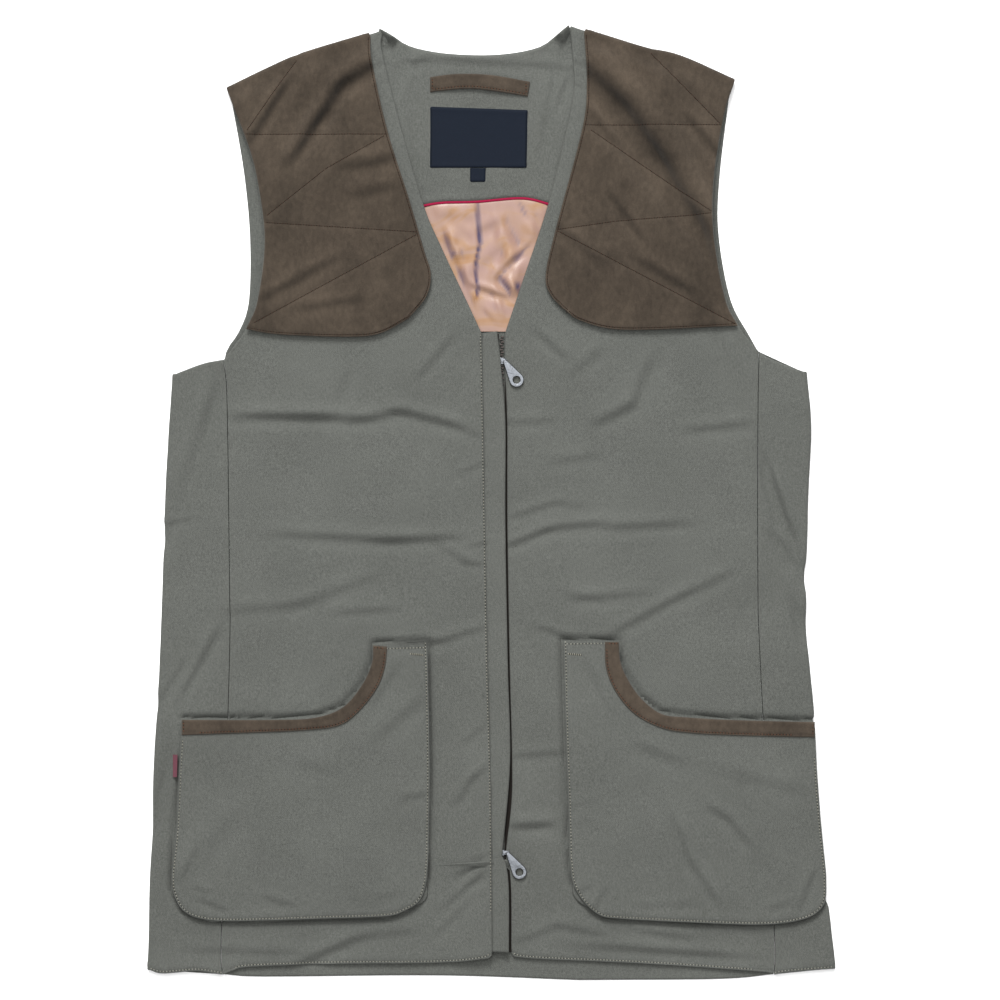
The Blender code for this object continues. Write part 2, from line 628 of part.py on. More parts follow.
def make_inside(vest):
    """What shows in the V neck: facing, piping, lining, loop, label and size tab."""
    surface, _ = sheet_surface(shifted(PIPING_LINE, 0, PIPING_HALF + GAP), FACING_HEAD, FACING_WEST,
                               FACING_EAST, GRIDS["back_facing"], inside_top)
    finish_piece(surface, "back_facing", LINING_WALL, "shell", vest)
    plain_sheet(vest, "piping", shifted(PIPING_LINE, 0, -PIPING_HALF), shifted(PIPING_LINE, 0, PIPING_HALF),
                inside_top, LINING_WALL, "piping")
    plain_sheet(vest, "lining", LINING_FOOT, shifted(PIPING_LINE, 0, -PIPING_HALF - GAP), lining_top,
                LINING_WALL, "satin")
    plain_sheet(vest, "hanging_loop", LOOP_FOOT, LOOP_HEAD, loop_top, SUEDE_WALL, "suede")
    sewn_on = at_height(INSIDE_TOP + GAP + LINING_WALL)
    plain_sheet(vest, "label", LABEL_FOOT, LABEL_HEAD, sewn_on, LINING_WALL, "label")
    plain_sheet(vest, "size_tab", TAB_FOOT, TAB_HEAD, sewn_on, LINING_WALL, "label")


def prism(name, profile, start, along, finish, collection):
    """A solid with a profile of (sideways, up) points, drawn out along a flat direction."""
    solid = bmesh.new()
    sideways = Vector((along.y, -along.x, 0.0)).normalized()
    corners = [solid.verts.new(start + sideways * side + Vector((0, 0, up))) for side, up in profile]
    face = solid.faces.new(corners)
    drawn = bmesh.ops.extrude_face_region(solid, geom=[face])["geom"]
    moving = [item for item in drawn if isinstance(item, bmesh.types.BMVert)]
    bmesh.ops.translate(solid, verts=moving, vec=along)
    bmesh.ops.recalc_face_normals(solid, faces=solid.faces)
    bmesh.ops.translate(solid, verts=solid.verts, vec=(0, -LENGTH / 2, 0))
    bmesh.ops.scale(solid, verts=solid.verts, vec=(MM, MM, MM))
    mesh = bpy.data.meshes.new(name)
    solid.to_mesh(mesh)
    solid.free()
    mesh.materials.append(make_finish(finish))
    piece = bpy.data.objects.new(name, mesh)
    collection.objects.link(piece)
    return piece


def make_slider(vest, cutters, place):
    """A slider on the chain, with an arm over the zip's edge and two lugs for the pull."""
    arm_east = place.hinge_across + ARM_REACH
    body = [(CHAIN_LEFT, BACK_TOP + GAP), (CHAIN_RIGHT, BACK_TOP + GAP), (CHAIN_RIGHT, ARM_FOOT),
            (arm_east, ARM_FOOT), (arm_east, ARM_TOP), (ARM_WEST, ARM_TOP), (ARM_WEST, SLIDER_TOP),
            (CHAIN_LEFT, SLIDER_TOP)]
    start = Vector((0.0, place.hinge_level - SLIDER_LONG / 2, 0.0))
    slider = prism(f"slider_{place.name}", body, start, Vector((0, SLIDER_LONG, 0)), "nickel", vest)
    turn = math.radians(PULL_TURN)
    along = Vector((math.cos(turn), math.sin(turn), 0.0))
    for side in (-1, 1):
        near, far = side * (PULL_NECK + LUG_GAP), side * (PULL_NECK + LUG_GAP + LUG_WALL)
        on_arm = side < 0 or place.chain_side_lug_on_arm
        foot_height = (ARM_TOP if on_arm else SLIDER_TOP) - GAP
        lug = [(near, foot_height), (far, foot_height), (far, LUG_TOP), (near, LUG_TOP)]
        foot = Vector((place.hinge_across, place.hinge_level, 0.0)) - along * LUG_LONG / 2
        cutter = prism(f"lug_{place.name}_{side}", lug, foot, along * LUG_LONG, "nickel", cutters)
        cutter.hide_render = True
        cutter.display_type = "WIRE"
        joined = slider.modifiers.new("lug", "BOOLEAN")
        joined.operation = "UNION"
        joined.solver = "EXACT"
        joined.object = cutter


def make_pull(vest, place):
    """A nickel tab that widens from its hinge to a ring, drawn flat and hinged at its origin."""
    outline = bpy.data.curves.new(f"pull_{place.name}", "CURVE")
    outline.dimensions = "2D"
    outline.fill_mode = "BOTH"
    outline.extrude = PULL_WALL / 2 * MM
    lean = math.asin((PULL_RING - PULL_NECK) / PULL_REACH)
    sweep = math.pi / 2 + lean
    ring = [Vector((PULL_REACH + PULL_RING * math.cos(turn), PULL_RING * math.sin(turn)))
            for turn in [-sweep + 2 * sweep * step / RING_STEPS for step in range(RING_STEPS + 1)]]
    tab = [Vector((-PULL_HEEL, -PULL_NECK))] + ring + [Vector((-PULL_HEEL, PULL_NECK))]
    hole = [Vector((PULL_REACH + PULL_HOLE * math.cos(turn), PULL_HOLE * math.sin(turn)))
            for turn in [2 * math.pi * step / RING_STEPS for step in range(RING_STEPS)]]
    for points in (tab, hole):
        spline = outline.splines.new("POLY")
        spline.points.add(len(points) - 1)
        spline.use_cyclic_u = True
        for target, point in zip(spline.points, points):
            target.co = (point.x * MM, point.y * MM, 0.0, 1.0)
    outline.materials.append(make_finish("nickel"))
    piece = bpy.data.objects.new(f"pull_{place.name}", outline)
    piece.location = (place.hinge_across * MM, (place.hinge_level - LENGTH / 2) * MM, HINGE_HEIGHT * MM)
    piece.rotation_euler = (0.0, 0.0, math.radians(PULL_TURN))
    vest.objects.link(piece)


def main():
    clear_scene()
    vest = make_collection("shooting_vest")
    cutters = make_collection("cutters")
    make_back(vest)
    side_bend = FRONT_TOP / 2
    make_side(vest, "side_right", SIDE_HEM_RIGHT, SIDE_TOP_RIGHT, shifted(FOLD_RIGHT, side_bend),
              shifted(SEAM_RIGHT, -SEAM_SETBACK), "west")
    make_side(vest, "side_left", SIDE_HEM_LEFT, SIDE_TOP_LEFT, shifted(SEAM_LEFT, SEAM_SETBACK),
              shifted(FOLD_LEFT, -side_bend), "east")
    make_front(vest, "front_right", HEM_RIGHT, SHOULDER_RIGHT,
               shifted(SEAM_RIGHT + ARMHOLE_RIGHT, SEAM_SETBACK), PLACKET_RIGHT + NECK_RIGHT,
               OUTWARD_RIGHT)
    make_front(vest, "front_left", HEM_LEFT, SHOULDER_LEFT, ZIP_EDGE_LEFT + NECK_LEFT,
               shifted(SEAM_LEFT + ARMHOLE_LEFT, -SEAM_SETBACK), OUTWARD_LEFT)
    surface, _ = sheet_surface([FLY_HIDDEN_EDGE[0], FLY_EDGE[0]], [FLY_HIDDEN_EDGE[-1], FLY_EDGE[-1]],
                               FLY_HIDDEN_EDGE, FLY_EDGE, GRIDS["fly_flap"], fly_top)
    finish_piece(surface, "fly_flap", FLY_WALL, "shell", vest)
    make_zip(vest)
    make_patch(vest, "patch_right", PATCH_FOOT_RIGHT, SHOULDER_RIGHT[:4],
               shifted(ARMHOLE_RIGHT[2:], FRONT_SHOWS_AT_ARMHOLE), PATCH_INNER_RIGHT, OUTWARD_RIGHT,
               QUILT_RIGHT)
    make_patch(vest, "patch_left", PATCH_FOOT_LEFT, SHOULDER_LEFT[1:], PATCH_INNER_LEFT,
               shifted(ARMHOLE_LEFT[2:], -FRONT_SHOWS_AT_ARMHOLE), OUTWARD_LEFT, QUILT_LEFT)
    for side, table in POCKETS.items():
        make_pocket(vest, side, table)
    plain_sheet(vest, "pocket_tab", POCKET_TAB_FOOT, POCKET_TAB_HEAD, above_front(GAP + LINING_WALL),
                LINING_WALL, "tab")
    make_inside(vest)
    for place in SLIDERS:
        make_slider(vest, cutters, place)
        make_pull(vest, place)


main()
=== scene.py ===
import math
from bisect import bisect_right
from collections import namedtuple

import bmesh
import bpy
from mathutils import Matrix, Vector, noise
from mathutils.bvhtree import BVHTree


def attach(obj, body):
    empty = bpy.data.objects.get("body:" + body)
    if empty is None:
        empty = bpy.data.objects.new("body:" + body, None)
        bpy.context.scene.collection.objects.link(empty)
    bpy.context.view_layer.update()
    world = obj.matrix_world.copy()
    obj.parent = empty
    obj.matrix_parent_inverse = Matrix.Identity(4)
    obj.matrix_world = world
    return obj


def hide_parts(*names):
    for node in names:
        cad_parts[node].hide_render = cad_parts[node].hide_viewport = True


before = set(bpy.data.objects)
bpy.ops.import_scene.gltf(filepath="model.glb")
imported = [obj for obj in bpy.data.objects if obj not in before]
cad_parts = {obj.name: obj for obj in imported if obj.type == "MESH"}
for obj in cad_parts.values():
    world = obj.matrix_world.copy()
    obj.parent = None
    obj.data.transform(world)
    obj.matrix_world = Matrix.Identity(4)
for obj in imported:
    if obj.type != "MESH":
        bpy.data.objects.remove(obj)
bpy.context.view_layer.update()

# Studio. The vest lies on a plain pale floor and is seen from straight above, under
# a wide soft panel and a lower, farther one beyond its shoulders that shows the folds.
SURFACE_LEVEL = 0.0
PICTURE_FIELD = 0.85          # metres that the frame takes in
PICTURE_CENTRE = (0.0074, 0.0027)
CAMERA_HEIGHT = 3.0
SENSOR_WIDTH = 36.0
ROOM_LIGHT = 0.60
FLOOR_REACH = 3.0
FLOOR_DROP = 0.0002           # keeps the floor's face clear of the cloth that lies on it


def fill_in(node, values):
    """Set a shader node's inputs by their names."""
    for socket, value in values.items():
        node.inputs[socket].default_value = value


studio = bpy.context.scene
for left_over in ("Cube", "Light", "Camera"):
    if left_over in studio.objects:
        bpy.data.objects.remove(studio.objects[left_over], do_unlink=True)
studio.view_settings.view_transform = "Standard"
studio.view_settings.look = "None"
camera = bpy.data.objects.new("camera", bpy.data.cameras.new("camera"))
camera.location = (*PICTURE_CENTRE, CAMERA_HEIGHT)
camera.data.sensor_width = SENSOR_WIDTH
camera.data.lens = SENSOR_WIDTH * CAMERA_HEIGHT / PICTURE_FIELD
studio.collection.objects.link(camera)
studio.camera = camera

StudioLight = namedtuple("StudioLight", "name place size power")
for lamp in (StudioLight("sky_panel", (0.0, 0.3, 2.6), 2.6, 52.0),
             StudioLight("key_panel", (-0.8, 5.0, 4.2), 2.4, 640.0)):
    light = bpy.data.lights.new(lamp.name, "AREA")
    light.size = lamp.size
    light.energy = lamp.power
    light_object = bpy.data.objects.new(lamp.name, light)
    light_object.location = lamp.place
    light_object.rotation_euler = (-Vector(lamp.place)).to_track_quat("-Z", "Y").to_euler()
    studio.collection.objects.link(light_object)
studio.world = studio.world or bpy.data.worlds.new("room")
studio.world.use_nodes = True
fill_in(studio.world.node_tree.nodes["Background"], {"Color": (1.0, 1.0, 1.0, 1.0), "Strength": ROOM_LIGHT})

floor_mesh = bmesh.new()
bmesh.ops.create_grid(floor_mesh, x_segments=1, y_segments=1, size=FLOOR_REACH)
bmesh.ops.translate(floor_mesh, verts=floor_mesh.verts, vec=(0, 0, SURFACE_LEVEL - FLOOR_DROP))
floor_data = bpy.data.meshes.new("floor")
floor_mesh.to_mesh(floor_data)
floor_mesh.free()
floor_paint = bpy.data.materials.new("pale_floor")
floor_paint.use_nodes = True
fill_in(floor_paint.node_tree.nodes["Principled BSDF"],
        {"Base Color": (0.96, 0.96, 0.96, 1.0), "Roughness": 0.9, "Specular IOR Level": 0.1})
floor_data.materials.append(floor_paint)
floor = bpy.data.objects.new("floor", floor_data)
studio.collection.objects.link(floor)

# Back. One panel of cotton twill from hem to shoulder seams, face down on the
# surface. Its turned edge shows at the armholes, and its hem below the fronts.
MM = 0.001
LENGTH = 810.5
BACK_TOP = 1.5
SEAM_RIGHT = [(-228, 9), (-229, 42), (-222, 272), (-222, 343), (-224, 489), (-227, 527)]
SEAM_LEFT = [(240, 8), (240, 46), (228, 272), (226, 343), (226, 470), (227, 534)]
BACK_ARMHOLE_RIGHT = [(-227, 528), (-224, 537), (-214, 552), (-206, 577), (-205, 630), (-210, 685), (-220, 744)]
BACK_ARMHOLE_LEFT = [(227, 535), (219, 548), (203, 579), (193, 635), (194, 683), (202, 751)]
BACK_HEM = [(-228, 5), (-193, 3), (-44, 4), (75, 0), (75, 0), (194, 1), (240, 5)]
BACK_HEAD = [(-220, 744), (-187, 760), (-155, 774), (-99, 791), (-99, 791), (-95, 808.4), (-95, 808.4),
             (-83.7, 802), (-74.7, 796.3), (-64, 792), (-40, 787.6), (-7, 786), (20, 788), (41, 793), (52, 800),
             (65.5, 811), (65.5, 811), (75, 794), (75, 794), (124, 779), (155, 772), (202, 751)]
CLOSE_ROWS = (0.0, 0.5, 1.1, 1.8, 2.6, 3.8, 5.6, 8.0)
EDGE_STITCH = 1.8
NECK_STAND = 9.0


def smooth_run(rows, fineness=8):
    """Close points on a smooth curve through an edge's (across, level) rows; a row given twice is a corner."""
    run, part = [], [Vector(rows[0])]
    for row in list(rows[1:]) + [rows[-1]]:
        if Vector(row) != part[-1]:
            part.append(Vector(row))
            continue
        ends = [2 * part[0] - part[1]] + part + [2 * part[-1] - part[-2]]
        for a, b, c, d in zip(ends, ends[1:], ends[2:], ends[3:]):
            for step in range(fineness):
                t = step / fineness
                run.append(0.5 * (2 * b + (c - a) * t + (2 * a - 5 * b + 4 * c - d) * t * t
                                  + (3 * b - a - 3 * c + d) * t * t * t))
        run.append(part[-1])
        part = [Vector(row)]
    return run


def tape_measure(run):
    reach = [0.0]
    for a, b in zip(run, run[1:]):
        reach.append(reach[-1] + (b - a).length)
    return reach


def at_share(run, reach, share):
    """The point at a share of a run's length."""
    target = min(max(share, 0.0), 1.0) * reach[-1]
    span = min(max(bisect_right(reach, target) - 1, 0), len(run) - 2)
    return run[span].lerp(run[span + 1], (target - reach[span]) / max(reach[span + 1] - reach[span], 1e-9))


def corner_shares(rows):
    """Where along an edge its corners are, as shares of its length."""
    shares = []
    for index in range(1, len(rows)):
        if tuple(rows[index]) == tuple(rows[index - 1]):
            shares.append(tape_measure(smooth_run(rows[:index]))[-1] / tape_measure(smooth_run(rows))[-1])
    return shares


def stations(length, cell, close_low, close_high, corners):
    """Shares along a panel: close rows beside finished edges, even cells between, one on each corner."""
    close = [row for row in CLOSE_ROWS if row < length * 0.4]
    low = close if close_low else [0.0]
    high = [length - row for row in reversed(close)] if close_high else [length]
    gap = high[0] - low[-1]
    steps = max(1, round(gap / cell))
    places = [value / length for value in low + [low[-1] + gap * k / steps for k in range(1, steps)] + high]
    for corner in corners:
        nearest = min(range(1, len(places) - 1), key=lambda k: abs(places[k] - corner))
        places[nearest] = corner
    return places


def waver(across, level, height, width, length, layer):
    """A slow uneven rise and fall, about so high, with swells so wide and long."""
    return height * noise.noise(Vector((across / width, level / length, layer)))


def folded(distance, place):
    """Height beside a plain folded edge: rounded over, and a little full just inside it."""
    return -0.9 * max(1.0 - distance / 1.2, 0.0) ** 2 + 0.18 * math.exp(-((distance - 2.4) / 1.6) ** 2)


def stitched(offset):
    """Height beside a folded edge with a row of stitches, which pinches the cloth unevenly."""
    def height(distance, place):
        pull = 1.0 + waver(place.x, place.y, 0.7, 5.5, 5.5, 3.0)
        rise = -0.8 * max(1.0 - distance / 0.9, 0.0) ** 2
        rise -= 0.34 * pull * math.exp(-((distance - offset) / 0.7) ** 2)
        return rise + 0.34 * pull * math.exp(-((distance - offset - 3.4) / 2.2) ** 2)
    return height


def joined(depth):
    """Height beside a pressed seam: rolled down into the joint, a little full next to it."""
    def height(distance, place):
        pull = 1.0 + waver(place.x, place.y, 0.5, 9, 9, 8.0)
        rise = -depth * math.exp(-(distance / 0.9) ** 2)
        return rise + 0.3 * depth * pull * math.exp(-((distance - 3.6) / 2.2) ** 2)
    return height


def cut_panel(foot, head, west, east, cell, lift, finishes):
    """A cloth surface between four edges, with its layer's height and its edge finishes."""
    corner_rows = (foot[0], foot[-1], head[0], head[-1])
    west = [(west[0][0], corner_rows[0][1])] + list(west[1:-1]) + [(west[-1][0], corner_rows[2][1])]
    east = [(east[0][0], corner_rows[1][1])] + list(east[1:-1]) + [(east[-1][0], corner_rows[3][1])]
    foot = [west[0]] + list(foot[1:-1]) + [east[0]]
    head = [west[-1]] + list(head[1:-1]) + [east[-1]]
    runs = {side: smooth_run(rows) for side, rows in zip(("foot", "head", "west", "east"), (foot, head, west, east))}
    reach = {side: tape_measure(run) for side, run in runs.items()}
    across = (reach["foot"][-1] + reach["head"][-1]) / 2
    up = (reach["west"][-1] + reach["east"][-1]) / 2
    us = stations(across, cell, "west" in finishes, "east" in finishes, corner_shares(foot) + corner_shares(head))
    vs = stations(up, cell, "foot" in finishes, "head" in finishes, corner_shares(west) + corner_shares(east))
    ends = [Vector(row) for row in (foot[0], foot[-1], head[0], head[-1])]
    feet = [at_share(runs["foot"], reach["foot"], u) for u in us]
    heads = [at_share(runs["head"], reach["head"], u) for u in us]
    wests = [at_share(runs["west"], reach["west"], v) for v in vs]
    easts = [at_share(runs["east"], reach["east"], v) for v in vs]
    panel = bmesh.new()
    bmesh.ops.create_grid(panel, x_segments=len(us) - 1, y_segments=len(vs) - 1, size=0.5)
    borders = {"west": {}, "east": {}, "head": {}}
    for vert in panel.verts:
        i = round((vert.co.x + 0.5) * (len(us) - 1))
        j = round((vert.co.y + 0.5) * (len(vs) - 1))
        u, v = us[i], vs[j]
        place = feet[i] * (1 - v) + heads[i] * v + wests[j] * (1 - u) + easts[j] * u
        place -= (ends[0] * (1 - u) + ends[1] * u) * (1 - v) + (ends[2] * (1 - u) + ends[3] * u) * v
        width, height = (easts[j] - wests[j]).length, (heads[i] - feet[i]).length
        distances = {"west": u * width, "east": (1 - u) * width, "foot": v * height, "head": (1 - v) * height}
        relief = sum(finish(distances[edge], place) for edge, finish in finishes.items())
        vert.co = (place.x, place.y, lift(place.x, place.y) + relief)
        for side, hit, index in (("west", i == 0, j), ("east", i == len(us) - 1, j), ("head", j == len(vs) - 1, i)):
            if hit:
                borders[side][index] = vert
    return panel, borders


def strip(foot, head, cell, lift, finishes):
    """A panel with straight sides between the ends of its foot and head."""
    return cut_panel(foot, head, [foot[0], head[0]], [foot[-1], head[-1]], cell, lift, finishes)[0]


def shifted(rows, across=0.0, level=0.0):
    return [(row[0] + across, row[1] + level) for row in rows]


def make_object(shape, name, material, body="root"):
    """Scale a finished shape from millimetres, put it in the vest's frame and let it ride on its body."""
    bmesh.ops.translate(shape, verts=shape.verts, vec=(0, -LENGTH / 2, 0))
    bmesh.ops.scale(shape, verts=shape.verts, vec=(MM, MM, MM))
    data = bpy.data.meshes.new(name)
    shape.to_mesh(data)
    shape.free()
    data.materials.append(material)
    data.shade_smooth()
    data.set_sharp_from_angle(angle=math.radians(50))
    piece = bpy.data.objects.new(name, data)
    studio.collection.objects.link(piece)
    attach(piece, body)
    return piece


def fit_out(shape, name, material, nodes, body="root"):
    """Make a piece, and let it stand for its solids."""
    piece = make_object(shape, name, material, body)
    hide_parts(*nodes)
    return piece


def sew_up(panel, node, wall, material):
    cut = sum(face.calc_area() for face in panel.faces) * MM * MM
    if max(panel.faces, key=lambda face: face.calc_center_median().z).normal.z < 0:
        bmesh.ops.reverse_faces(panel, faces=panel.faces)
    bmesh.ops.solidify(panel, geom=panel.faces[:] + panel.edges[:] + panel.verts[:], thickness=wall)
    piece = fit_out(panel, f"{node}_cloth", material, [node])
    return piece


def paint(name, roughness, sheen, metallic=0.0, gloss=0.3):
    """A new material with its even values set on the shader; returns it with its tree and shader."""
    material = bpy.data.materials.new(name)
    material.use_nodes = True
    tree = material.node_tree
    shader = tree.nodes["Principled BSDF"]
    fill_in(shader, {"Roughness": roughness, "Metallic": metallic, "Specular IOR Level": gloss, "Sheen Weight": sheen,
                     "Sheen Roughness": 0.6})
    return material, tree, shader


def on_piece(tree, texture_type, stretch, turn, values):
    """A texture laid on the piece's own coordinates."""
    where = tree.nodes.new("ShaderNodeTexCoord")
    mapping = tree.nodes.new("ShaderNodeMapping")
    fill_in(mapping, {"Scale": stretch, "Rotation": (0, 0, turn)})
    texture = tree.nodes.new(texture_type)
    fill_in(texture, values)
    tree.links.new(where.outputs["Object"], mapping.inputs["Vector"])
    tree.links.new(mapping.outputs["Vector"], texture.inputs["Vector"])
    return texture.outputs["Fac"]


def grain(tree, scale, detail=2.0, stretch=(1, 1, 1), turn=0.0, distortion=0.0):
    """Noise whose features are about 1/scale metres."""
    return on_piece(tree, "ShaderNodeTexNoise", stretch, turn,
                    {"Scale": scale, "Detail": detail, "Distortion": distortion})


def ribs(tree, pitch, turn):
    """Even diagonal or straight lines of a weave, one every pitch metres."""
    return on_piece(tree, "ShaderNodeTexWave", (1, 1, 1), turn,
                    {"Scale": 2 * math.pi / 20 / pitch, "Distortion": 0.6, "Detail Scale": 1.5})


def maths(tree, operation, first, second):
    node = tree.nodes.new("ShaderNodeMath")
    node.operation = operation
    for socket, value in zip(node.inputs, (first, second)):
        if isinstance(value, (int, float)):
            socket.default_value = value
        else:
            tree.links.new(value, socket)
    return node.outputs[0]


def shades(tree, factor, stops):
    """A colour ramp from (position, colour) stops."""
    ramp_node = tree.nodes.new("ShaderNodeValToRGB")
    elements = ramp_node.color_ramp.elements
    while len(elements) < len(stops):
        elements.new(0.5)
    for element, (position, colour) in zip(elements, stops):
        element.position = position
        element.color = (*colour, 1.0)
    tree.links.new(factor, ramp_node.inputs["Fac"])
    return ramp_node.outputs["Color"]


def emboss(tree, shader, height, depth, strength=1.0):
    bump = tree.nodes.new("ShaderNodeBump")
    fill_in(bump, {"Strength": strength, "Distance": depth})
    tree.links.new(height, bump.inputs["Height"])
    tree.links.new(bump.outputs["Normal"], shader.inputs["Normal"])


def weighted(tree, *parts):
    """The sum of textures, each times its share."""
    total = None
    for texture, share in parts:
        term = maths(tree, "MULTIPLY", texture, share)
        total = term if total is None else maths(tree, "ADD", total, term)
    return total


def tinted(colour, factor):
    return tuple(channel * factor for channel in colour)


def cotton_twill(name, colour):
    """Matt brushed cotton: fine diagonal ribs, flecked yarn, and slow cloudy changes of tone."""
    material, tree, shader = paint(name, 0.92, 0.02, gloss=0.10)
    flecks = grain(tree, 1100.0, detail=3.0)
    warp = grain(tree, 1000.0, detail=2.0, stretch=(1.0, 0.30, 1.0))
    clouds = grain(tree, 16.0, detail=4.0)
    twill = ribs(tree, 0.0011, math.radians(52))
    mixed = weighted(tree, (flecks, 0.56), (clouds, 0.14), (warp, 0.22), (twill, 0.08))
    tone = shades(tree, mixed, [(0.32, tinted(colour, 0.60)), (0.5, colour), (0.68, tinted(colour, 1.42))])
    tree.links.new(tone, shader.inputs["Base Color"])
    emboss(tree, shader, maths(tree, "ADD", flecks, twill), 0.00012, 0.7)
    return material


SAGE = (0.0747, 0.0776, 0.0707)
sage_cotton = cotton_twill("sage_cotton", SAGE)


def neck_rise(across, level):
    """The neck edge stands up towards each shoulder, where it meets the strip of the front."""
    rise = 0.0
    for peak, down in (((-84.5, 801.0), (0.50, -0.87)), ((57.5, 803.5), (-0.60, -0.80))):
        off = Vector((across - peak[0], level - peak[1]))
        depth = off.x * down[0] + off.y * down[1]
        aside = off.x * down[1] - off.y * down[0]
        rise += NECK_STAND * math.exp(-(aside / 8.5) ** 2 - (max(depth, 0.0) / 3.6) ** 2)
    return rise


def back_top(across, level):
    return BACK_TOP + 0.6 * neck_rise(across, level)


panel, _ = cut_panel(BACK_HEM, BACK_HEAD,
                     shifted(SEAM_RIGHT, 0.2) + shifted(SEAM_RIGHT[-1:], 0.2) + BACK_ARMHOLE_RIGHT[1:],
                     shifted(SEAM_LEFT, -0.2) + shifted(SEAM_LEFT[-1:], -0.2) + BACK_ARMHOLE_LEFT[1:], 7.0, back_top,
                     {"west": folded, "east": folded, "foot": folded, "head": folded})
back_cloth = sew_up(panel, "back", 1.3, sage_cotton)
for vertex in back_cloth.data.vertices:
    vertex.co.z = max(vertex.co.z, SURFACE_LEVEL)

THREAD_PITCH = 2.7
THREAD_LONG = 1.7
THREAD_HALF = 0.46
HOLE_LONG = 1.5


def height_under(tree, place):
    """Height of the topmost cloth at a place, or None beside it."""
    hit, _, _, _ = tree.ray_cast(Vector((place.x, place.y, 60.0)), Vector((0, 0, -1)))
    return None if hit is None else hit.z


def bead(stitches, tree, start, end, half, proud, material_index):
    """One stitch, an eight-sided bead of thread between two places, or a dark bead of painted shade for the needle
    hole between two stitches.
    """
    heights = [height_under(tree, place) for place in (start, start.lerp(end, 0.5), end)]
    if None in heights:
        return
    along = (end - start).normalized()
    aside = Vector((-along.y, along.x)) * half
    centre = start.lerp(end, 0.5)
    tips = [stitches.verts.new((start.x, start.y, heights[0] - half * 0.4)),
            stitches.verts.new((end.x, end.y, heights[2] - half * 0.4))]
    belt = [stitches.verts.new((centre.x + side * aside.x, centre.y + side * aside.y, heights[1] + proud + up * half))
            for side, up in ((1, 0), (0, 1), (-1, 0), (0, -1))]
    for first, second in zip(belt, belt[1:] + belt[:1]):
        stitches.faces.new((tips[0], second, first)).material_index = material_index
        stitches.faces.new((tips[1], first, second)).material_index = material_index


def sew_line(stitches, tree, rows, pitch=THREAD_PITCH, half=THREAD_HALF):
    """Lay a row of stitches, with dark beads of painted shade for their needle holes, on the cloth along a run of
    points.
    """
    run = smooth_run(rows)
    reach = tape_measure(run)
    count = max(1, int(reach[-1] / pitch))
    for index in range(count):
        for middle, long, width, proud, slot in ((index + 0.5, THREAD_LONG, half, 0.12, 0),
                                                 (index + 1.0, HOLE_LONG, half * 1.15, 0.03, 1)):
            start = at_share(run, reach, middle / count - long / 2 / reach[-1])
            end = at_share(run, reach, middle / count + long / 2 / reach[-1])
            bead(stitches, tree, start, end, width, proud, slot)


def finish_stitches(stitches, name, thread, cloth):
    """Turn a section's stitches into one piece on the cloth that they hold."""
    bmesh.ops.recalc_face_normals(stitches, faces=stitches.faces)
    piece = make_object(stitches, name, thread)
    piece.data.materials.append(painted_hole_shade)
    piece.parent = cloth
    return piece


# Painted shade: near-black beads stand between the stitches for the shade in their needle holes.
painted_hole_shade, _, painted_hole_shader = paint("painted_hole_shade", 0.95, 0.0, gloss=0.05)
painted_hole_shader.inputs["Base Color"].default_value = (0.006, 0.006, 0.004, 1.0)


def ramp(value, start, end):
    share = min(max((value - start) / (end - start), 0.0), 1.0)
    return share * share * (3.0 - 2.0 * share)


# Inside the back. A self facing runs down to a crimson piping, and a satin lining with
# loose folds below it. A suede hanging loop is sewn over its ends; label and tab are bare.
INSIDE_TOP = 2.8
PIPING_LINE = [(-70, 655), (-44, 660), (-13, 661), (26, 664), (49, 659), (62, 655)]
FACING_HEAD = [(-95, 778), (-94, 807.5), (-94, 807.5), (-83.5, 801), (-74.5, 795.3), (-63.8, 791), (-40, 786.6),
               (-7, 785), (20, 787), (40.7, 792), (51.5, 799), (65, 810), (65, 810), (74, 776)]
FACING_WEST = [(-70, 656.5), (-95, 778)]
FACING_EAST = [(62, 656.5), (74, 776)]
LINING_FOOT = [(-24, 551), (30, 551)]
LOOP_FOOT = [(-52, 754), (-45, 755), (-18, 757), (9, 754), (31, 750.5)]
LOOP_HEAD = [(-52, 767), (-29, 769.5), (0, 768.5), (33, 763)]
LABEL_FOOT = [(-52, 690), (30, 690)]
LABEL_HEAD = [(-52, 742), (31, 739)]
TAB_FOOT = [(-18, 678), (-5, 678)]
TAB_HEAD = [(-18, 689.7), (-4.5, 689.7)]
NECK_POINT = 549.0

Fold = namedtuple("Fold", "across level turn half_length half_width rise")


def fold_table(*rows):
    return [Fold(*row) for row in rows]


CREASE_PEAK = math.sqrt(2 * math.e)
LINING_FOLDS = fold_table(
    (-34, 628, 68, 30, 7, 1.5), (-22, 598, 72, 30, 5, 1.2), (-46, 646, 58, 12, 4, 0.8),
    (-33, 610, 64, 16, 2.2, 0.9), (14, 622, -74, 40, 6, 1.8), (23, 628, -58, 26, 4.5, -1.1),
    (31, 642, -58, 20, 4.5, 1.2), (14, 592, -48, 16, 4.0, 1.3), (22, 586, -64, 18, 2.4, 1.1),
    (6, 576, -76, 20, 3.0, 1.0), (43, 650, -44, 11, 3, 0.7), (8, 636, 82, 22, 3, 0.6))
NECK_HOLLOWS = fold_table(
    (-90, 797, -69, 8, 3.4, -4.6), (-84, 794, 37, 5, 2.5, -2), (66, 796, 77, 11, 3.4, -4.6),
    (62, 788, 74, 7, 3.4, -2.4), (-74, 780, -27, 8, 6.0, -0.6))
FACING_CREASES = fold_table(
    (-67, 779, 9, 13, 5.1, 0.7), (3, 779, -3, 69, 5.1, 0.5), (-73, 767, 71, 19, 5.1, -0.6),
    (-67, 705, -83, 42, 6.8, -0.5), (46, 735, 80, 37, 6.0, 0.5), (-56, 723, -89, 22, 3.4, 0.3),
    (59, 752, 72, 17, 4.2, 0.5))
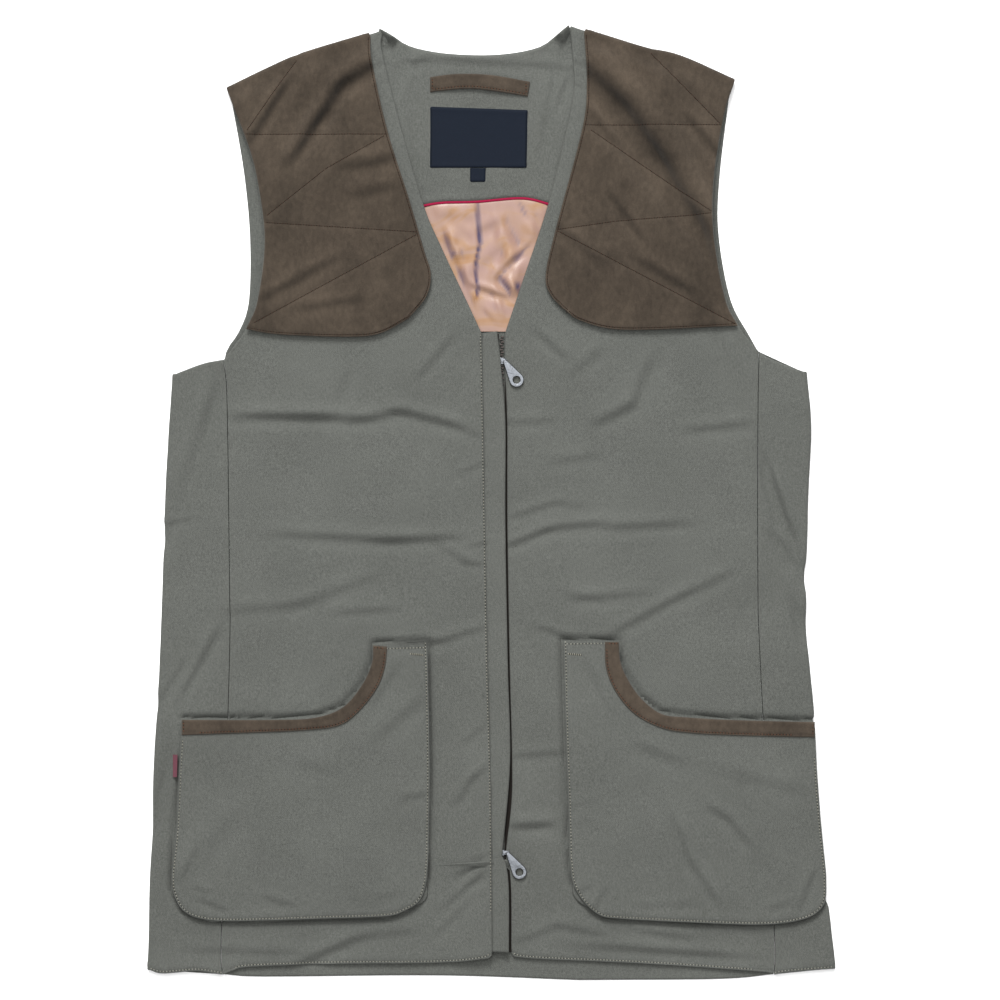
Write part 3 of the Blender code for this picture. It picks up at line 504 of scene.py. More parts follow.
LINING_CREASES = fold_table(
    (-1, 585, -18, 18, 4.2, 1.5), (11, 606, 52, 16, 5.3, 1.3), (24, 617, 45, 15, 3.9, 1),
    (16, 587, -59, 14, 3.9, 1.2), (29, 654, -65, 11, 3.9, 0.9), (-31, 609, -71, 32, 4.5, 0.9),
    (-31, 649, -8, 20, 6.5, 0.6), (-26, 615, 34, 14, 6.5, 0.7), (-1, 641, 22, 14, 6.5, 0.8),
    (1, 616, 41, 14, 7.9, 0.9), (-0, 562, -54, 11, 3.9, 0.9), (-23, 636, -45, 11, 5.3, 0.5))
PLEAT = [(-13, 660), (-11.5, 642), (-10.5, 626), (-14, 607), (-12.6, 588), (-12, 564), (-10.5, 550)]
PLEAT_DROP = 1.5
LINING_GAIN = 1.2
FACING_GAIN = 1.8


def place_in(fold, across, level):
    """A place as a fold sees it: how far along it and beside it, in its half lengths and half widths."""
    turn = math.radians(fold.turn)
    x, y = across - fold.across, level - fold.level
    return ((x * math.cos(turn) + y * math.sin(turn)) / fold.half_length,
            (y * math.cos(turn) - x * math.sin(turn)) / fold.half_width)


def fold_height(rows, across, level):
    """Height of soft folds at a place: each is longest along its turn and fades to nothing."""
    height = 0.0
    for fold in rows:
        length, width = place_in(fold, across, level)
        height += fold.rise * math.exp(-length ** 2 - width ** 2)
    return height


def crease_height(creases, across, level):
    """Height beside creases, each a ridge above its line and a trough below it."""
    height = 0.0
    for crease in creases:
        length, width = place_in(crease, across, level)
        if abs(length) < 2.2 and abs(width) < 2.6:
            height += crease.rise * CREASE_PEAK * width * math.exp(-length ** 4 - width ** 2)
    return height


def facing_top(across, level):
    ripple = waver(across, level, 0.25, 14, 9, 1.0)
    ripple += waver(across, level, 0.5, 30, 24, 21.0)
    ripple += fold_height(NECK_HOLLOWS, across, level) + FACING_GAIN * crease_height(FACING_CREASES, across, level)
    return max(INSIDE_TOP + 0.2 + ripple + 0.9 * neck_rise(across, level), INSIDE_TOP - 0.6)


def between(rows, level):
    """Where a table of (across, level) rows lies across at a level."""
    rows = sorted(rows, key=lambda row: row[1])
    if level <= rows[0][1]:
        return rows[0][0]
    for (first, low), (second, high) in zip(rows, rows[1:]):
        if low <= level <= high and high > low:
            return first + (second - first) * (level - low) / (high - low)
    return rows[-1][0]


def lining_top(across, level):
    """Satin gathered into the piping, with a centre pleat that overlaps, and loose folds either side."""
    above = level - NECK_POINT
    from_edge = 9.0 + above * 0.40 - abs(across - 4.0 + above * 0.06)
    free = ramp(from_edge, 0.0, 9.0) * ramp(above, 2.0, 26.0)
    height = LINING_GAIN * fold_height(LINING_FOLDS, across, level) + crease_height(LINING_CREASES, across, level)
    from_pleat = across - between(PLEAT, level)
    height += PLEAT_DROP * ramp(0.5 - from_pleat, 0.0, 1.1) * ramp(from_pleat, -26.0, -0.6)
    height += waver(across, level, 0.5, 6, 26, 5.0) * ramp(level, 600.0, 655.0)
    height += waver(across, level, 0.35, 13, 17, 12.0)
    return INSIDE_TOP + free * max(height + 0.8, -0.6)


def satin_paint():
    """Satin: apricot with drifts of ochre, with painted shade in dark mauve where a fold turns away and in its
    hollows, read from the cloth's own heights.
    """
    material, tree, shader = paint("apricot_satin", 0.38, 0.05, gloss=0.45)
    drift = grain(tree, 46.0, detail=2.0, stretch=(0.7, 1.0, 1.0), turn=math.radians(24), distortion=1.0)
    tone = shades(tree, drift, [(0.36, (0.235, 0.140, 0.112)), (0.52, (0.245, 0.146, 0.102)),
                                (0.62, (0.235, 0.126, 0.062)), (0.72, (0.225, 0.112, 0.046))])
    # Painted shade: a dark mauve is mixed into the colour where the satin's folds turn away and dip.
    painted_fold_shade = tree.nodes.new("ShaderNodeAttribute")
    painted_fold_shade.attribute_name = "painted_fold_shade"
    mix = tree.nodes.new("ShaderNodeMix")
    mix.data_type = "RGBA"
    tree.links.new(painted_fold_shade.outputs["Fac"], mix.inputs[0])
    tree.links.new(tone, mix.inputs[6])
    mix.inputs[7].default_value = (0.055, 0.040, 0.075, 1.0)
    tree.links.new(mix.outputs[2], shader.inputs["Base Color"])
    emboss(tree, shader, ribs(tree, 0.0006, math.radians(90)), 0.00003, 0.4)
    return material


def suede_paint(name, colour):
    """Brushed suede: mottled suede pile in soft clouds a few millimetres across, over a fine grain, with painted
    shade and painted light on crease slopes stored on the cloth.
    """
    material, tree, shader = paint(name, 0.96, 0.08, gloss=0.05)
    streaks = grain(tree, 300.0, detail=4.0, stretch=(1.0, 0.6, 1.0), distortion=0.4)
    brushed = grain(tree, 30.0, detail=3.0, stretch=(1.0, 0.7, 1.0), distortion=0.3)
    fine = grain(tree, 1300.0, detail=2.0)
    mixed = weighted(tree, (streaks, 0.30), (brushed, 0.48), (fine, 0.22))
    tone = shades(tree, mixed, [(0.34, tinted(colour, 0.62)), (0.5, colour), (0.66, tinted(colour, 1.45))])
    # Painted shade and painted light: the stored crease value scales the colour down on crease slopes facing away
    # from the key lamp and up on those facing it.
    lean = tree.nodes.new("ShaderNodeAttribute")
    lean.attribute_name = "painted_crease_light"
    tone_with_painted_light = tree.nodes.new("ShaderNodeVectorMath")
    tone_with_painted_light.operation = "SCALE"
    tree.links.new(tone, tone_with_painted_light.inputs[0])
    tree.links.new(maths(tree, "ADD", lean.outputs["Fac"], 1.0), tone_with_painted_light.inputs["Scale"])
    tree.links.new(tone_with_painted_light.outputs[0], shader.inputs["Base Color"])
    emboss(tree, shader, maths(tree, "ADD", fine, streaks), 0.00020, 0.8)
    return material


def plain_cloth(name, colour, pitch=0.0007, turn=0.0, roughness=0.8):
    """A small plain weave in one colour with its ribs showing faintly."""
    material, tree, shader = paint(name, roughness, 0.01, gloss=0.06)
    weave = ribs(tree, pitch, turn)
    tone = shades(tree, maths(tree, "ADD", maths(tree, "MULTIPLY", weave, 0.5),
                              maths(tree, "MULTIPLY", grain(tree, 900.0), 0.5)),
                  [(0.25, tinted(colour, 0.75)), (0.7, tinted(colour, 1.2))])
    tree.links.new(tone, shader.inputs["Base Color"])
    emboss(tree, shader, weave, 0.00008, 0.6)
    return material


suede = suede_paint("brown_suede", (0.0373, 0.0287, 0.0210))
binding_suede = suede_paint("brown_suede_trim", (0.0427, 0.0328, 0.0243))
satin = satin_paint()

panel, _ = cut_panel(shifted(PIPING_LINE, 0, 1.4), FACING_HEAD, FACING_WEST, FACING_EAST, 1.6, facing_top,
                     {"foot": joined(0.7), "head": folded})
facing_cloth = sew_up(panel, "back_facing", 0.9, sage_cotton)

panel = strip(LINING_FOOT, shifted(PIPING_LINE, 0, -1.2), 1.8, lining_top, {"head": joined(0.2)})
lining_cloth = sew_up(panel, "lining", 0.6, satin)


def write_on(cloth, attribute, measure):
    """Store a value measured at each point of a cloth, for its material to read."""
    values = cloth.data.attributes.new(attribute, "FLOAT", "POINT")
    for vertex, value in zip(cloth.data.vertices, values.data):
        value.value = measure(vertex.co.x / MM, vertex.co.y / MM + LENGTH / 2)


def satin_fold_shade(across, level):
    """Painted shade: how far the satin turns away from above, on its folds' sides and in its hollows, for its colour
    to darken to mauve.
    """
    fall = lining_top(across - 0.7, level) - lining_top(across + 0.7, level)
    hollow = lining_top(across - 3, level) + lining_top(across + 3, level) - 2 * lining_top(across, level)
    return 0.95 * ramp(abs(fall), 0.45, 1.8) + 0.6 * ramp(hollow, 0.4, 1.6)


# Painted shade for the lining, from its fold slopes and hollows, stored for its material.
write_on(lining_cloth, "painted_fold_shade", satin_fold_shade)

PIPING_RADIUS = 1.15
piping_run = smooth_run(PIPING_LINE)
piping_shape = bmesh.new()
ring_before = None
for index, place in enumerate(piping_run):
    ahead = (piping_run[min(index + 1, len(piping_run) - 1)] - piping_run[max(index - 1, 0)]).normalized()
    ring = []
    for step in range(10):
        turn = math.tau * step / 10
        side = PIPING_RADIUS * math.cos(turn)
        ring.append(piping_shape.verts.new((place.x - ahead.y * side, place.y + ahead.x * side,
                                            INSIDE_TOP + 0.1 + 0.9 * math.sin(turn))))
    if ring_before:
        for step in range(10):
            piping_shape.faces.new((ring_before[step], ring_before[step - 1], ring[step - 1], ring[step]))
    else:
        piping_shape.faces.new(ring)
    ring_before = ring
piping_shape.faces.new(ring_before[::-1])
bmesh.ops.recalc_face_normals(piping_shape, faces=piping_shape.faces)
crimson_bias = plain_cloth("crimson_bias", (0.1996, 0.0073, 0.0315), 0.0008, 0.8)
piping_cord = fit_out(piping_shape, "piping_bias", crimson_bias, ["piping"])
piping_cord.parent = lining_cloth


def loop_top(across, level):
    """The loop stands off the facing between its sewn ends."""
    share = (across + 10.5) / 41.5
    return INSIDE_TOP + 1.8 + 2.2 * max(1.0 - share * share, 0.0)


panel = strip(LOOP_FOOT, LOOP_HEAD, 1.6, loop_top,
              {"foot": stitched(1.9), "head": folded, "west": folded, "east": folded})
loop_tree = BVHTree.FromBMesh(panel)
loop_cloth = sew_up(panel, "hanging_loop", 1.3, binding_suede)
brown_thread = plain_cloth("reddish_brown_thread", (0.0242, 0.0085, 0.0054))
rusty_thread = plain_cloth("rusty_thread", (0.085, 0.032, 0.018))
stitches = bmesh.new()
sew_line(stitches, loop_tree, [(-50, 756.2), (-45, 757), (-18, 759), (9, 756), (29, 752.8)])
for end, foot, head in ((-50, 756.2, 765.5), (29.5, 753, 762)):
    sew_line(stitches, loop_tree, [(end, foot), (end, head)])
finish_stitches(stitches, "hanging_loop_stitches", rusty_thread, loop_cloth)


def sewn_on_top(across, level):
    return INSIDE_TOP + 1.2 + waver(across, level, 0.10, 11, 11, 2.0)


navy_weave = plain_cloth("navy_weave", (0.0045, 0.0072, 0.0135), 0.0006, math.radians(90), 0.6)
navy_thread = plain_cloth("navy_thread", (0.0036, 0.0048, 0.0073))
panel = strip(LABEL_FOOT, LABEL_HEAD, 2.4, sewn_on_top,
              {"foot": folded, "head": folded, "west": folded, "east": folded})
label_tree = BVHTree.FromBMesh(panel)
label_cloth = sew_up(panel, "label", 0.6, navy_weave)
panel = strip(TAB_FOOT, TAB_HEAD, 1.5, sewn_on_top, {"west": folded, "east": folded, "foot": folded})
tab_cloth = sew_up(panel, "size_tab", 0.6, navy_weave)
stitches = bmesh.new()
for start, end in (((-50.6, 691.5), (-50.4, 740.5)), ((28.8, 691.5), (29.6, 737.5))):
    sew_line(stitches, label_tree, [start, end], pitch=2.2, half=0.2)
finish_stitches(stitches, "label_stitches", navy_thread, label_cloth)


# Two-way zip. Dark tapes sewn beneath both fronts, and a chain of moulded teeth between
# them that shows at the head, where the flap stops short of its edge.
ZIP_FOOT = 24.0
ZIP_HEAD = 549.0
CHAIN_MIDDLE = 8.9
CHAIN_TOP = 3.8
TOOTH_PITCH = 2.2
TOOTH_LONG = 2.7
TOOTH_BROAD = 1.25
zip_dark = plain_cloth("dark_zip_tape", (0.0097, 0.0079, 0.0067), 0.0008, 0.0, 0.75)
tooth_paint, _, tooth_shader = paint("dark_zip_teeth", 0.42, 0.0, gloss=0.5)
tooth_shader.inputs["Base Color"].default_value = (0.026, 0.013, 0.009, 1.0)
for side, west, east in (("right", -10.0, 6.3), ("left", 11.5, 26.0)):
    panel = strip([(west, ZIP_FOOT), (east, ZIP_FOOT)], [(west, ZIP_HEAD), (east, ZIP_HEAD)], 5.0,
                  lambda across, level: INSIDE_TOP, {})
    sew_up(panel, f"zip_tape_{side}", 0.9, zip_dark)

teeth = bmesh.new()
count = int((ZIP_HEAD - ZIP_FOOT) / TOOTH_PITCH)
for index in range(count):
    level = ZIP_FOOT + (index + 0.5) * TOOTH_PITCH
    lean = 1 if index % 2 else -1
    centre = (CHAIN_MIDDLE + 0.55 * lean, level, CHAIN_TOP - 0.75)
    made = bmesh.ops.create_cube(teeth, size=1.0, matrix=Matrix.Translation(centre)
                                 @ Matrix.Diagonal((TOOTH_LONG, TOOTH_BROAD, 1.5, 1.0)))
    for vert in made["verts"]:
        if vert.co.z > CHAIN_TOP - 0.5:
            vert.co.y += (level - vert.co.y) * 0.3
            vert.co.x += (centre[0] - vert.co.x) * 0.12
fit_out(teeth, "zip_teeth", tooth_paint, ["zip_chain", "zip_chain_head", "zip_chain_foot"])


# Under-arm panels. Cotton cut from the front seam, carried round the side fold, and back
# beneath to the back seam. The wearer's left one is creased above its pocket.
FRONT_TOP = 4.9
SHOULDER_RISE = 1.8
PLACKET_TOP = 8.3
ZIP_EDGE_TOP = 4.5
ZIP_MIDDLE = 4.0
BEND_STEPS = 8
SIDE_BEND = FRONT_TOP / 2
FOLD_RIGHT = [(-292.4, 9), (-291, 38), (-288, 152), (-283, 243), (-279, 343), (-275, 442), (-270, 515)]
FOLD_LEFT = [(292.4, 10), (288, 51), (280, 129), (273, 232), (266.5, 315), (268, 398), (271, 468), (267, 517)]
SIDE_TOP_RIGHT = [(-268, 515), (-260, 518), (-243, 524), (-227, 527)]
SIDE_TOP_LEFT = [(227, 534), (232, 530), (243, 525), (265, 517)]
SIDE_HEM_RIGHT = [(-290, 9), (-279, 6), (-250, 8), (-228, 5)]
SIDE_HEM_LEFT = [(240, 5), (252, 7), (290, 10)]
SHOULDER_RIGHT = [(-225, 758), (-192, 774), (-160, 788), (-104, 805), (-94, 808)]
SHOULDER_LEFT = [(68, 812.2), (80, 808), (129, 793), (160, 786), (207, 765)]
BODY_FOLDS = fold_table(
    (240, 416, -71, 32, 4.2, -2.3), (257, 365, -72, 34, 4.2, -2.7), (251, 364, -64, 28, 3.4, -1.6),
    (262, 306, -76, 22, 4.2, -1.8), (-17, 530, -86, 16, 2.5, -0.7), (-120, 501, 81, 14, 6.0, -0.8),
    (-275, 374, 68, 23, 4.2, -1.1), (-282, 153, 79, 43, 5.1, -1.4), (-270, 255, 59, 25, 4.2, -0.9),
    (-2, 117, 77, 14, 2.5, -0.5))
BODY_CREASES = fold_table(
    (243.5, 407, -73, 27, 6.2, 1.9), (249, 366, -62, 19, 6.0, 1.7), (261, 305, -77, 21, 4.2, 0.6),
    (-282, 153, 79, 43, 5.1, 0.5), (-269, 255, 59, 27, 5.1, 0.6), (-94, 779, 22, 9, 2.9, 0.3),
    (-92, 762, 22, 9, 2.9, 0.26), (-91, 768, 10, 6, 2.5, 0.14), (74, 779, -22, 9, 2.9, 0.3),
    (72, 761, -22, 9, 2.9, 0.28), (72, 770, -12, 8, 2.5, 0.16), (-169, 479, 0, 47, 6.1, 1.3),
    (-131, 476, -2, 40, 5.8, 0.42), (-121, 498, 78, 15, 5.8, -0.68), (-97, 479, 9, 24, 5.8, 0.93),
    (-56, 478, -14, 33, 5.8, 1.2), (-22, 467, -19, 19, 4.5, 0.37), (26, 474, 3, 29, 5.2, 0.43),
    (105, 481, 27, 20, 6.8, 0.9), (128, 509, 67, 27, 7.6, 0.8), (192, 470, 6, 29, 5.8, 0.59),
    (70, 443, 9, 20, 6.1, 0.39), (37, 400, 18, 23, 4.5, 0.49), (66, 404, -8, 14, 4.5, 0.31),
    (31, 376, 22, 23, 4.5, 0.86), (69, 386, 8, 29, 5.2, 0.72), (124, 386, 3, 45, 6.1, 0.68),
    (-124, 376, -3, 58, 6.1, 0.78), (-64, 375, 2, 38, 5.8, 0.85), (-32, 362, -31, 17, 4.5, 0.55),
    (-16, 354, -6, 11, 3.6, 0.54), (-8, 371, 12, 13, 3.1, 0.48), (-16, 435, 22, 10, 3.6, 0.39),
    (3, 414, 11, 9, 3.6, 0.34), (-186, 317, 5, 40, 6.8, 0.5), (-135, 330, 19, 37, 6.8, 0.5),
    (-107, 314, 4, 27, 5.2, 0.51), (-63, 287, 4, 24, 4.5, 0.61), (-28, 293, 17, 26, 4.5, 0.55),
    (53, 296, -18, 15, 4.5, 0.55), (96, 326, 5, 38, 5.8, 0.51), (134, 312, 29, 38, 5.2, 0.72),
    (180, 335, 27, 27, 6.1, 0.58), (-238, 496, 75, 26, 7.6, 0.5), (-251, 455, 70, 50, 7.6, 0.5),
    (-265, 390, 12, 13, 3.6, 0.34), (-248, 269, 61, 37, 5.8, 1), (-247, 250, 70, 16, 4.5, 0.37),
    (52, 539, -44, 19, 4.5, 0.8), (-47, 530, 50, 26, 5.2, 0.58), (82, 526, 41, 18, 6.1, 0.49),
    (199, 534, -78, 15, 5.8, 0.68), (75, 327, -14, 22, 5.8, 0.34), (-23, 161, 58, 15, 4.5, 0.74),
    (-11, 176, 41, 12, 4.5, 0.55), (-14, 210, 41, 15, 4.5, 0.37), (35, 132, 3, 18, 5.8, 1.1),
    (39, 192, 5, 24, 5.2, 0.51), (-7, 106, 18, 10, 3.6, 0.44), (-22, 79, 44, 26, 4.5, 0.67),
    (-31, 56, 48, 24, 4.5, 0.49), (-10, 87, 34, 11, 3.6, 0.39), (50, 82, -76, 23, 5.8, -0.68),
    (40, 40, 21, 20, 5.2, 0.43), (75, 43, -13, 22, 5.2, 0.58), (148, 25, -4, 69, 6.1, 0.88),
    (-139, 25, 23, 32, 6.1, 0.88), (-92, 39, 8, 29, 5.8, 0.42), (-205, 25, -2, 53, 5.8, 0.42),
    (148, 39, -9, 27, 5.2, 0.51))
FOLD_GAIN = 2.0
POCKET_EDGES = {
    "right": [(-262, 223), (-182, 223), (-148, 225), (-125, 234), (-109, 253), (-101, 271), (-100, 287),
              (-52, 289), (-51, 175), (-52, 106), (-54, 84), (-60, 67), (-75, 57), (-91, 53), (-148, 51), (-216, 50),
              (-246, 52), (-262, 60), (-271, 77), (-272, 90), (-265, 186)],
    "left": [(274, 221), (201, 223), (167, 225), (144, 228), (126, 242), (114, 260), (109, 274), (108, 289),
             (60, 290), (64, 152), (65, 106), (68, 84), (77, 67), (92, 55), (110, 52), (167, 49), (253, 49),
             (273, 55), (284, 68), (285, 90)],
}
POCKET_DENT = 3.4
POCKET_DENT_REACH = 2.3
ABOVE_POCKETS = 310.0
SIDE_CELL = 2.3
FULLNESS = 3.0


def fullness(across, level):
    """How far the fronts stand off what is beneath them, away from their edges and shoulders."""
    inner = ramp(abs(across - ZIP_MIDDLE), 16.0, 70.0) * ramp(285.0 - abs(across), 0.0, 36.0)
    return FULLNESS * inner * ramp(level, 22.0, 90.0) * ramp(shoulder_level(across) - level, 40.0, 150.0)


def shoulder_level(across):
    """Level of the shoulder fold above a place."""
    tip, neck = ((-225, 758), (-94, 808)) if across < 0 else ((207, 765), (68, 812.2))
    share = min(max((across - tip[0]) / (neck[0] - tip[0]), 0.0), 1.0)
    return tip[1] + (neck[1] - tip[1]) * share


def front_top(across, level):
    """Upper face of the fronts and sides: layers below, soft folds, slight ripples and the placket's rise."""
    from_zip = abs(across - ZIP_MIDDLE)
    ripples = waver(across, level, 0.8, 60, 46, 0.0)
    ripples += waver(across, level, 0.22, 21, 17, 4.0)
    ripples += waver(across, level, 0.06, 7, 6, 13.0)
    folds = FOLD_GAIN * (fold_height(BODY_FOLDS, across, level) + crease_height(BODY_CREASES, across, level))
    height = FRONT_TOP + fullness(across, level) + max(folds + ripples, -3.0) * ramp(from_zip, 4.0, 12.0)
    height += SHOULDER_RISE * ramp(level - shoulder_level(across), -60.0, -8.0)
    rise = PLACKET_TOP - FRONT_TOP if across < ZIP_MIDDLE else ZIP_EDGE_TOP - FRONT_TOP
    return height + rise * ramp(46.0 - from_zip, 0.0, 30.0) * ramp(600.0 - level, 0.0, 45.0)


def nearest_on(rows, place):
    """Distance from a place to a line of straight stretches."""
    best = 1e9
    for start, end in zip(rows, rows[1:]):
        start, run = Vector(start), Vector(end) - Vector(start)
        share = min(max((place - start).dot(run) / run.length_squared, 0.0), 1.0)
        best = min(best, (place - start - run * share).length)
    return best


def body_top(across, level):
    """The fronts and sides, pressed in along the pockets' edges."""
    place = Vector((across, level))
    if level > ABOVE_POCKETS:
        return front_top(across, level)
    distance = nearest_on(POCKET_EDGES["right" if across < ZIP_MIDDLE else "left"], place)
    return front_top(across, level) - POCKET_DENT * math.exp(-(distance / POCKET_DENT_REACH) ** 2)


def fold_under(panel, line, ends, outward, lowest):
    """Carry a panel's edge round a half-circle bend, then back beneath it to the given ends."""
    bases = {vert: (vert.co.copy(), end) for vert, end in zip(line, ends)}
    turns = [math.pi * step / BEND_STEPS for step in range(1, BEND_STEPS + 1)]
    rows = [(math.sin(turn), (1 - math.cos(turn)) / 2, 0.0) for turn in turns] + [(0.0, 1.0, 1.0)]
    for out, down, back in rows:
        edges = [item for item in panel.edges if item.is_boundary and all(vert in bases for vert in item.verts)]
        made = bmesh.ops.extrude_edge_only(panel, edges=edges)["geom"]
        fresh = {}
        for vert in [item for item in made if isinstance(item, bmesh.types.BMVert)]:
            source = next(item.other_vert(vert) for item in vert.link_edges if item.other_vert(vert) in bases)
            fresh[vert] = bases[source]
        for vert, (base, end) in fresh.items():
            depth = base.z - lowest
            place = base.xy.lerp(end, back) + Vector(outward) * (depth / 2 * out)
            vert.co = (place.x, place.y, base.z - depth * down)
        bases = fresh
    bmesh.ops.recalc_face_normals(panel, faces=panel.faces)


olive_thread = plain_cloth("olive_thread", (0.25, 0.24, 0.20))
for side, foot, head, west, east, fold_side in (
        ("right", SIDE_HEM_RIGHT, SIDE_TOP_RIGHT, shifted(FOLD_RIGHT, SIDE_BEND), shifted(SEAM_RIGHT, -0.3), "west"),
        ("left", SIDE_HEM_LEFT, SIDE_TOP_LEFT, shifted(SEAM_LEFT, 0.3), shifted(FOLD_LEFT, -SIDE_BEND),
         "east")):
    seam_side = "east" if fold_side == "west" else "west"
    panel, borders = cut_panel(foot, head, west, east, SIDE_CELL, body_top,
                               {seam_side: joined(0.15), "head": folded, "foot": stitched(EDGE_STITCH)})
    side_tree = BVHTree.FromBMesh(panel)
    stitches = bmesh.new()
    sew_line(stitches, side_tree, shifted(foot, 0, EDGE_STITCH))
    rows_folded = sorted(borders[fold_side])
    fold_under(panel, [borders[fold_side][row] for row in rows_folded],
               [borders[seam_side][row].co.xy.copy() for row in rows_folded], (-1, 0) if side == "right" else (1, 0),
               0.0)
    side_cloth = sew_up(panel, f"side_{side}", 1.3, sage_cotton)
    finish_stitches(stitches, f"side_{side}_stitches", olive_thread, side_cloth)


# Fly flap. A double layer of the shell cotton sewn behind the right front's edge, so that
# the zip runs under it; its own edge is a plain fold, and swings clear of each slider.
FLY_EDGE = [(15, 24), (15, 75), (13, 97), (9.8, 105), (9.8, 112), (16, 186), (14, 272), (12, 389), (12, 475),
            (8.4, 520), (7.6, 530), (5, 551)]
FLY_HIDDEN_EDGE = [(-8, 25), (-8, 158), (-10, 387), (-11.5, 549)]
PLACKET_RIGHT = [(1, 25), (0, 158), (-3, 272), (-5, 387), (-8, 549)]


def fly_top(across, level):
    """Behind the right front as far as its edge, then level with it up to the flap's own fold."""
    seam = between(PLACKET_RIGHT, level)
    beneath = front_top(min(across, 0.0), level) - 2.1
    pucker = waver(across, level, 0.35, 9, 15, 9.0)
    return beneath + (1.9 + pucker) * ramp(across, seam - 0.1, seam + 0.9)


panel, _ = cut_panel([FLY_HIDDEN_EDGE[0], FLY_EDGE[0]], [FLY_HIDDEN_EDGE[-1], FLY_EDGE[-1]],
                     FLY_HIDDEN_EDGE, FLY_EDGE, 1.8, fly_top, {"east": folded, "foot": folded})
fly_cloth = sew_up(panel, "fly_flap", 1.0, sage_cotton)


# Fronts. Cotton fronts with stitched hems, armholes and a self strip round the V neck,
# each folded over its shoulder to a seam behind; the right one has a stitched zip edge.
OUTWARD_RIGHT = (-0.357, 0.934)
OUTWARD_LEFT = (0.311, 0.950)
SHOULDER_BEND = 4.25
SEAM_BEHIND_SHOULDER = 10.0
FRONT_CELL = 2.7
ARMHOLE_FOOT = 530.0
ARMHOLE_RIGHT = [(-227, 527), (-219, 538), (-209, 552), (-199, 577), (-193, 627), (-198, 672), (-206, 705),
                 (-225, 758)]
ARMHOLE_LEFT = [(227, 534), (215, 548), (210, 556), (199, 579), (189, 635), (190, 683), (199, 737), (207, 765)]
NECK_RIGHT = [(-8, 549), (-21, 577), (-44, 626), (-57, 657), (-75, 719), (-92, 786), (-92.5, 804)]
NECK_LEFT = [(11.5, 549), (26, 592), (48, 658), (63, 719), (70, 755), (69, 785), (66.7, 808.3)]
ZIP_EDGE_LEFT = [(17, 26), (16.8, 75), (15, 97), (12.4, 108), (17, 150), (17.6, 186), (15.5, 272), (13.6, 389),
                 (13.4, 475), (11.5, 520), (11.5, 549)]
HEM_RIGHT = [(-228, 5), (-219, 8.5), (-205, 11.5), (-136, 14), (-44, 15), (-8, 18.5), (-1, 20), (1, 25)]
HEM_LEFT = [(17, 26), (18.6, 21), (24, 19.6), (52, 17.6), (134, 14), (222, 8), (240, 6)]


def inset(rows, outward, distance):
    return [(row[0] - outward[0] * distance, row[1] - outward[1] * distance) for row in rows]


def beside(rows, distance):
    """A smooth run moved to the right of its own direction."""
    run = smooth_run(rows, 4)
    moved = []
    for index, place in enumerate(run):
        ahead = run[min(index + 1, len(run) - 1)] - run[max(index - 1, 0)]
        moved.append(place + Vector((ahead.y, -ahead.x)).normalized() * distance)
    return moved


def armhole_and_seam(distance, place):
    """A front's outer edge: folded round the armhole, and pressed flat where it meets the side."""
    return folded(distance, place) if place.y > ARMHOLE_FOOT else joined(0.15)(distance, place)


def neck_and_zip(distance, place):
    """The right front's edge: folded round the neck, and stitched down on the flap below it."""
    return folded(distance, place) if place.y > NECK_POINT else stitched(1.2)(distance, place)


for side, foot, head, west, east, outward, finishes, seams in (
        ("right", HEM_RIGHT, SHOULDER_RIGHT, shifted(SEAM_RIGHT + ARMHOLE_RIGHT, 0.3), PLACKET_RIGHT + NECK_RIGHT,
         OUTWARD_RIGHT, {"west": armhole_and_seam, "east": neck_and_zip, "foot": stitched(EDGE_STITCH)},
         [[(-218, 11), (-205, 13.3), (-136, 15.8), (-44, 16.8), (-9, 20.2), (-1.6, 23)],
          beside(PLACKET_RIGHT, -1.2)[1:]]),
        ("left", HEM_LEFT, SHOULDER_LEFT, ZIP_EDGE_LEFT + NECK_LEFT, shifted(SEAM_LEFT + ARMHOLE_LEFT, -0.3),
         OUTWARD_LEFT, {"west": folded, "east": armhole_and_seam, "foot": stitched(EDGE_STITCH)},
         [[(18.5, 23.6), (25, 21.4), (52, 19.4), (134, 15.8), (222, 9.8)]])):
    head = inset(head, outward, SHOULDER_BEND)
    west, east = west[:-1] + [head[0]], east[:-1] + [head[-1]]
    panel, borders = cut_panel(foot, head, west, east, FRONT_CELL, body_top, finishes)
    front_tree = BVHTree.FromBMesh(panel)
    stitches = bmesh.new()
    for rows in seams:
        sew_line(stitches, front_tree, rows)
    line = [borders["head"][index] for index in sorted(borders["head"])]
    fold_under(panel, line, [vert.co.xy - Vector(outward) * SEAM_BEHIND_SHOULDER for vert in line], outward, 1.8)
    front_cloth = sew_up(panel, f"front_{side}", 1.2, sage_cotton)
    finish_stitches(stitches, f"front_{side}_stitches", olive_thread, front_cloth)


# Sliders and pull tabs. Die-cast nickel: a rounded body over the chain with a pin for the
# tab, and a tab that widens to a ring. Each tab turns on its pin; each slider runs on the chain.
HINGE_HEIGHT = 6.4
PULL_TURN = math.radians(-58)
PULL_REACH = 19.0
PULL_RING = 6.2
PULL_HOLE = 3.0
PULL_NECK = 1.4
PULL_HEEL = 0.9
PULL_WALL = 1.2
PULL_BEVEL = 0.55
RIM_ANGLE = 1.2
nickel, nickel_tree, nickel_shader = paint("brushed_nickel", 0.34, 0.0, metallic=1.0, gloss=0.5)
